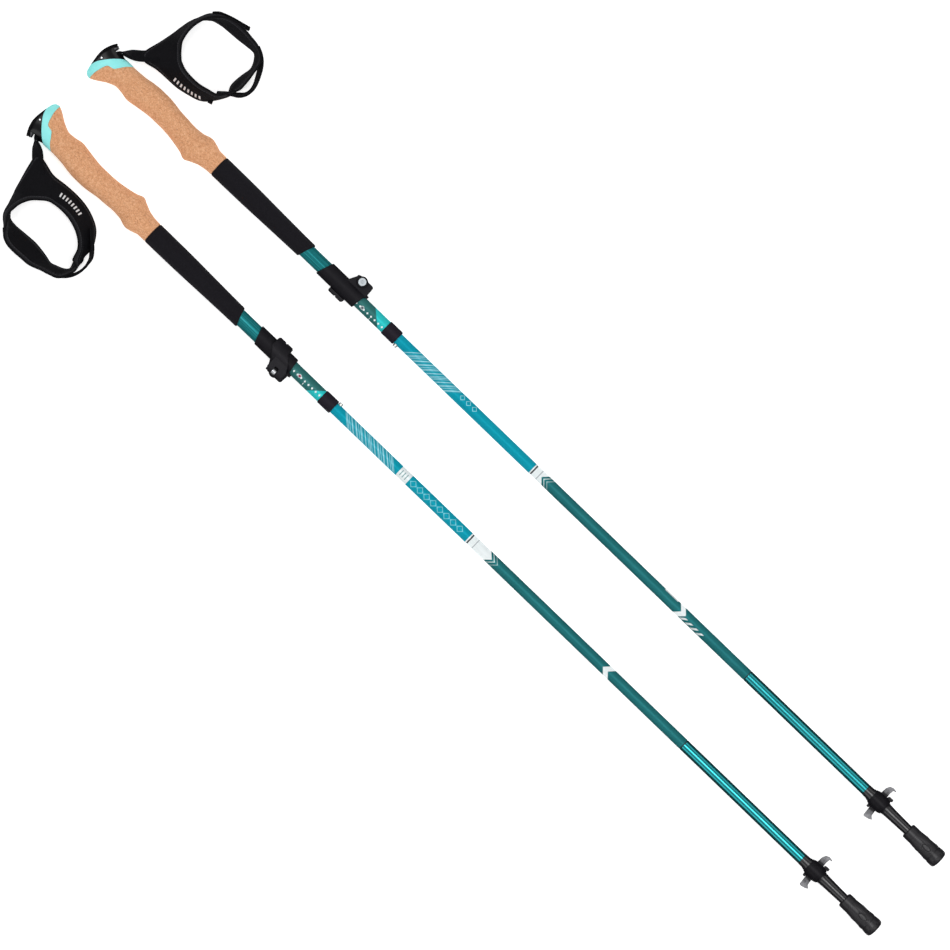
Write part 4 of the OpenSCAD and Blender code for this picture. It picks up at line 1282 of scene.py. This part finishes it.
def neck_webbing(pole, path, webbing):
    """Two layers from the cap slot to the band, turning from upright to nearly flat."""
    line, level = ribbon_line(path, step=0.9)
    turn = np.clip((line[:, 1] - 12.0) / 14.0, 0, 1)
    turn = turn * turn * (3 - 2 * turn)
    angle = np.radians(90 - 66 * turn)
    half = 8.8 - 2.6 * turn
    reach = level * (half * np.cos(angle))[:, None]
    rise = half * np.sin(angle)
    for i, offset in enumerate((-0.95, 0.95)):
        centre = line + level * (offset * np.sin(angle))[:, None]
        height = offset * np.cos(angle)
        layer = ribbon(pole, f"neck_webbing_{i + 1}", at_height(centre + reach, height + rise),
                       at_height(centre - reach, height - rise), 1.5, 1.4, webbing,
                       columns=13, soft=1.5)
        if i == 0:
            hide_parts(pole.part("strap_webbing"))
        pole.part("handle")
        pole.part("strap")
        tuple(pole.flat((-286.5, 10.5, 0)))
        tuple(pole.flat((-281.0, 19.5, 0)))
        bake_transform(layer)


def wrist_strap(pole):
    strap = STRAPS[pole.side]
    wrist_band(pole, strap)
    webbing = webbing_material(pole.part("webbing_flat"))
    # loose layer of webbing outside the band's far end
    line, level = ribbon_line(strap["tail"])
    reach = level * (np.interp(line[:, 1], *strap["tail_half"]) - 0.2)[:, None]
    tail = ribbon(pole, "strap_tail", at_height(line + reach, 9.6), at_height(line - reach, -9.6),
                  2.0, 1.7, webbing)
    put(tail, pole.part("strap"), "webbing")
    # closure tab on the outer face of the far arm
    line, _ = ribbon_line(strap["tab"])
    tab = ribbon(pole, "closure_tab", at_height(line + [0, 0.3], 9.0),
                 at_height(line - [0, 2.0], -9.0), 2.2, 1.8, webbing)
    put(tab, pole.part("strap"), "webbing", pole.part("strap_tab"))
    # small tag at the edge of the near arm, on one pole only
    if "tag" in strap:
        line, _ = ribbon_line(strap["tag"], step=0.8)
        tag = ribbon(pole, "strap_tag", at_height(line + [2.4, 0.7], -3.0),
                     at_height(line - [2.4, 0.7], -5.0), 1.3, 1.2, webbing, columns=11, soft=1.5)
        put(tag, pole.part("strap"), "webbing")
    neck_webbing(pole, strap["neck"], webbing)


# ------------------------------------------------------------------ materials of both poles
MATERIALS = {
    "cork": cork_material(), "trim_rubber": trim_material(), "cap_plastic": cap_material(),
    "foam": foam_material(), "cord_fabric": cord_material(), "boot_rubber": boot_material(),
    "steel_pin": metal_material("steel_pin", (205, 207, 210), rough=0.24),
    "nut_steel": metal_material("nut_steel", (172, 178, 182), rough=0.4),
    "spring_steel": metal_material("spring_steel", (196, 196, 192), rough=0.28),
    "carbide": metal_material("carbide", (150, 152, 156), rough=0.4, scale=6.0),
    "inner_plastic": plastic_material("inner_plastic", (60, 60, 64), (80, 80, 84)),
    "plug_plastic": plastic_material("plug_plastic", (30, 30, 33), (52, 52, 56)),
    "clamp_plastic": plastic_material("clamp_plastic", (12, 11, 15), (26, 24, 30), rough=0.5,
                                      grain=2.4, depth=0.06, spec=0.14, bevel=0.3),
    "lever_plastic": plastic_material("lever_plastic", (14, 13, 17), (30, 28, 34), rough=0.44,
                                      grain=2.8, spec=0.16, bevel=0.3),
    "collar_plastic": plastic_material("collar_plastic", (20, 15, 25), (36, 30, 42), rough=0.5,
                                       spec=0.14),
    "shank_plastic": plastic_material("shank_plastic", (9, 8, 12), (24, 23, 28), rough=0.2,
                                      grain=2.2, depth=0.03, spec=0.65, bevel=0.3, coat=0.25),
}

# ------------------------------------------------------------------ pieces of each pole
# builder, slot, CAD node it replaces
GRIP_PIECES = [(cork_grip, "cork", "cork_grip"), (trim_ring, "trim_rubber", "trim_ring"),
               (top_cap, "cap_plastic", "top_cap"), (foam_grip, "foam", "foam_grip")]
# CAD node, object, body, slot, voxel in mm
SHELLS = [("clamp_body", "clamp_shell", "handle", "clamp_plastic", 0.34),
          ("clamp_lever", "lever_shell", "lever", "lever_plastic", 0.3),
          ("tip_shank", "shank_shell", "section_3", "shank_plastic", 0.34),
          ("claw_basket", "basket_shell", "section_3", "basket_plastic", 0.28)]
# painted CAD node, material
PRINTED = [("upper_tube", upper_material), ("scale_tube", scale_material),
           ("tube_section_1", section_1_material), ("tube_section_2", section_2_material),
           ("tube_section_3", section_3_material)]
SMALL_PARTS = [("cap_pin", "steel_pin"), ("lever_pin", "steel_pin"), ("clamp_bolt", "steel_pin"),
               ("adjust_nut", "nut_steel"), ("strap_wedge", "inner_plastic"),
               ("tube_collar", "collar_plastic"), ("cord_anchor", "inner_plastic"),
               ("section_plug_1", "plug_plastic"), ("section_plug_2", "plug_plastic"),
               ("cord_stop", "inner_plastic"), ("carbide_tip", "carbide")]
# stations where the tension cord passes from one body to the next
CORD_START, CORD_UPPER_END, CORD_END = -135.5, 60, 654
FOLD_1, FOLD_2 = (302, 310), (598.3, 606.3)


def paint(node, material):
    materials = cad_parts[node].data.materials
    if len(materials):
        for i in range(len(materials)):
            materials[i] = material
    else:
        materials.append(material)


def spring_button(pole):
    """The snap button, copied in spring steel."""
    button = copy_node(pole.part("snap_button"), pole.part("spring_button"),
                       MATERIALS["spring_steel"])
    put(button, pole.part("button"), "spring_steel", pole.part("snap_button"))
    pole.part("section_1_slide")
    tuple(pole.row((119, 0, 0), True))
    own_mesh(button)


def tension_cord(pole):
    """The cord in the pieces of tube it runs through, and the folds between them."""
    fabric = MATERIALS["cord_fabric"]
    upper = cord(pole, "cord_upper", CORD_START, CORD_UPPER_END, fabric)
    put(upper, pole.part("scale"), "cord_fabric", pole.part("tension_cord"))
    pole.part("section_1_slide")
    tuple(pole.row((CORD_START, 0, 0), True))
    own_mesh(upper)
    for body, start, end in (("section_1", CORD_UPPER_END, FOLD_1[0]),
                             ("section_2", FOLD_1[1], FOLD_2[0]),
                             ("section_3", FOLD_2[1], CORD_END)):
        put(cord(pole, "cord_" + body, start, end, fabric), pole.part(body), "cord_fabric")
    for name, (start, end), before, after in (("cord_fold_1", FOLD_1, "section_1", "section_2"),
                                              ("cord_fold_2", FOLD_2, "section_2", "section_3")):
        fold = cord(pole, name, start, end, fabric, step=0.15)
        pole.part(before)
        pole.part(after)
        tuple(pole.row((start, 0, 0), True))
        tuple(pole.row((end, 0, 0), True))
        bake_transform(fold)


for pole in POLES:
    for build, slot, node in GRIP_PIECES:
        put(build(pole, MATERIALS[slot]), pole.part("handle"), slot, pole.part(node))
    wrist_strap(pole)
    for node, name, body, slot, voxel in SHELLS:
        material = MATERIALS.get(slot) or basket_material(pole)
        shell = softened(pole.part(node), pole.part(name), material, voxel)
        put(shell, pole.part(body), slot, pole.part(node))
    put(rubber_boot(pole, MATERIALS["boot_rubber"]), pole.part("boot"), "boot_rubber",
        pole.part("rubber_boot"))
    spring_button(pole)
    tension_cord(pole)
    for node, make in PRINTED:
        paint(pole.part(node), make(pole))
    for node, material in SMALL_PARTS:
        paint(pole.part(node), MATERIALS[material])


# ------------------------------------------------------------------ floor, light, camera
FLOOR_HALF = 6.0
FLOOR_GAP = 0.0005


def floor():
    """White paper that glows a little."""
    g = Material("floor_paper")
    colour = g.mix(g.noise(0.004, detail=2.0), (250, 250, 250), (253, 253, 253))
    material = g.finish(colour, rough=0.9, spec=0.1)
    glow = g.value("Emission", {"Color": (1, 1, 1, 1), "Strength": 0.55})
    paper = Value(g, g.surface.outputs[0])
    g.put(g.output.inputs[0], g.value("AddShader", {0: paper, 1: glow}))
    s = FLOOR_HALF
    mesh = new_mesh("floor", [(-s, -s, 0), (s, -s, 0), (s, s, 0), (-s, s, 0)], [(0, 1, 2, 3)],
                    material)
    ob = new_object("floor", mesh)
    ob.location.z = CAD_LO.z - FLOOR_GAP
    ob.visible_glossy = False


def area_light(name, place, size, size_y, energy):
    """Rectangular light aimed at the origin."""
    light = bpy.data.lights.new(name, "AREA")
    light.shape, light.size, light.size_y, light.energy = "RECTANGLE", size, size_y, energy
    ob = new_object(name, light)
    ob.location = place
    ob.rotation_mode = "QUATERNION"
    ob.rotation_quaternion = (Vector() - Vector(place)).to_track_quat("-Z", "Y")


def studio_world():
    """Even light for the scene; reflections see a gradient and a long soft box overhead."""
    world = bpy.data.worlds.new("studio")
    scene.world = world
    g = Graph(world, "OutputWorld")
    _, y, z = g.split("SeparateXYZ", g.value("TexCoord", output="Generated"))
    sky = g.remap(z, -0.1, 1.0, low=0.05, high=0.34, smooth=True)
    off_centre = g.math("ABSOLUTE", y - 0.05, 0.0)
    box = g.remap(off_centre, 0.36, 0.12, smooth=True)
    overhead = g.math("GREATER_THAN", z, 0.2)
    white = (1, 1, 1, 1)
    plain = g.value("Background", {"Color": white, "Strength": 0.6})
    shiny = g.value("Background", {"Color": white, "Strength": sky + box * overhead * 1.45})
    glossy = g.value("LightPath", output="Is Glossy Ray")
    g.put(g.output.inputs[0], g.value("MixShader", {0: glossy, 1: plain, 2: shiny}))


def camera():
    """Long lens looking straight down, turned so the poles cross the picture slantwise."""
    view_width, subject_height = 0.95, 0.014
    data = bpy.data.cameras.new("camera")
    data.lens, data.sensor_width = 200.0, 36.0
    data.clip_start, data.clip_end = 0.1, 30
    ob = new_object("camera", data)
    right = Vector((0.72005, 0.69392, 0)).normalized()
    up = Vector((-0.69392, 0.72005, 0)).normalized()
    turn = Matrix((right, up, Vector((0, 0, 1)))).transposed()
    height = subject_height + view_width * 200 / 36
    ob.matrix_world = Matrix.Translation((-0.01984, -0.00245, height)) @ turn.to_4x4()
    scene.camera = ob


floor()
area_light("strip", (0.0, 0.12, 1.5), size=2.6, size_y=0.28, energy=8.0)
area_light("fill_a", (0.0, -1.6, 1.1), size=2.4, size_y=0.9, energy=7.0)
area_light("fill_b", (0.0, 1.7, 1.0), size=2.4, size_y=0.8, energy=5.0)
studio_world()
camera()
scene.view_settings.view_transform = "Standard"
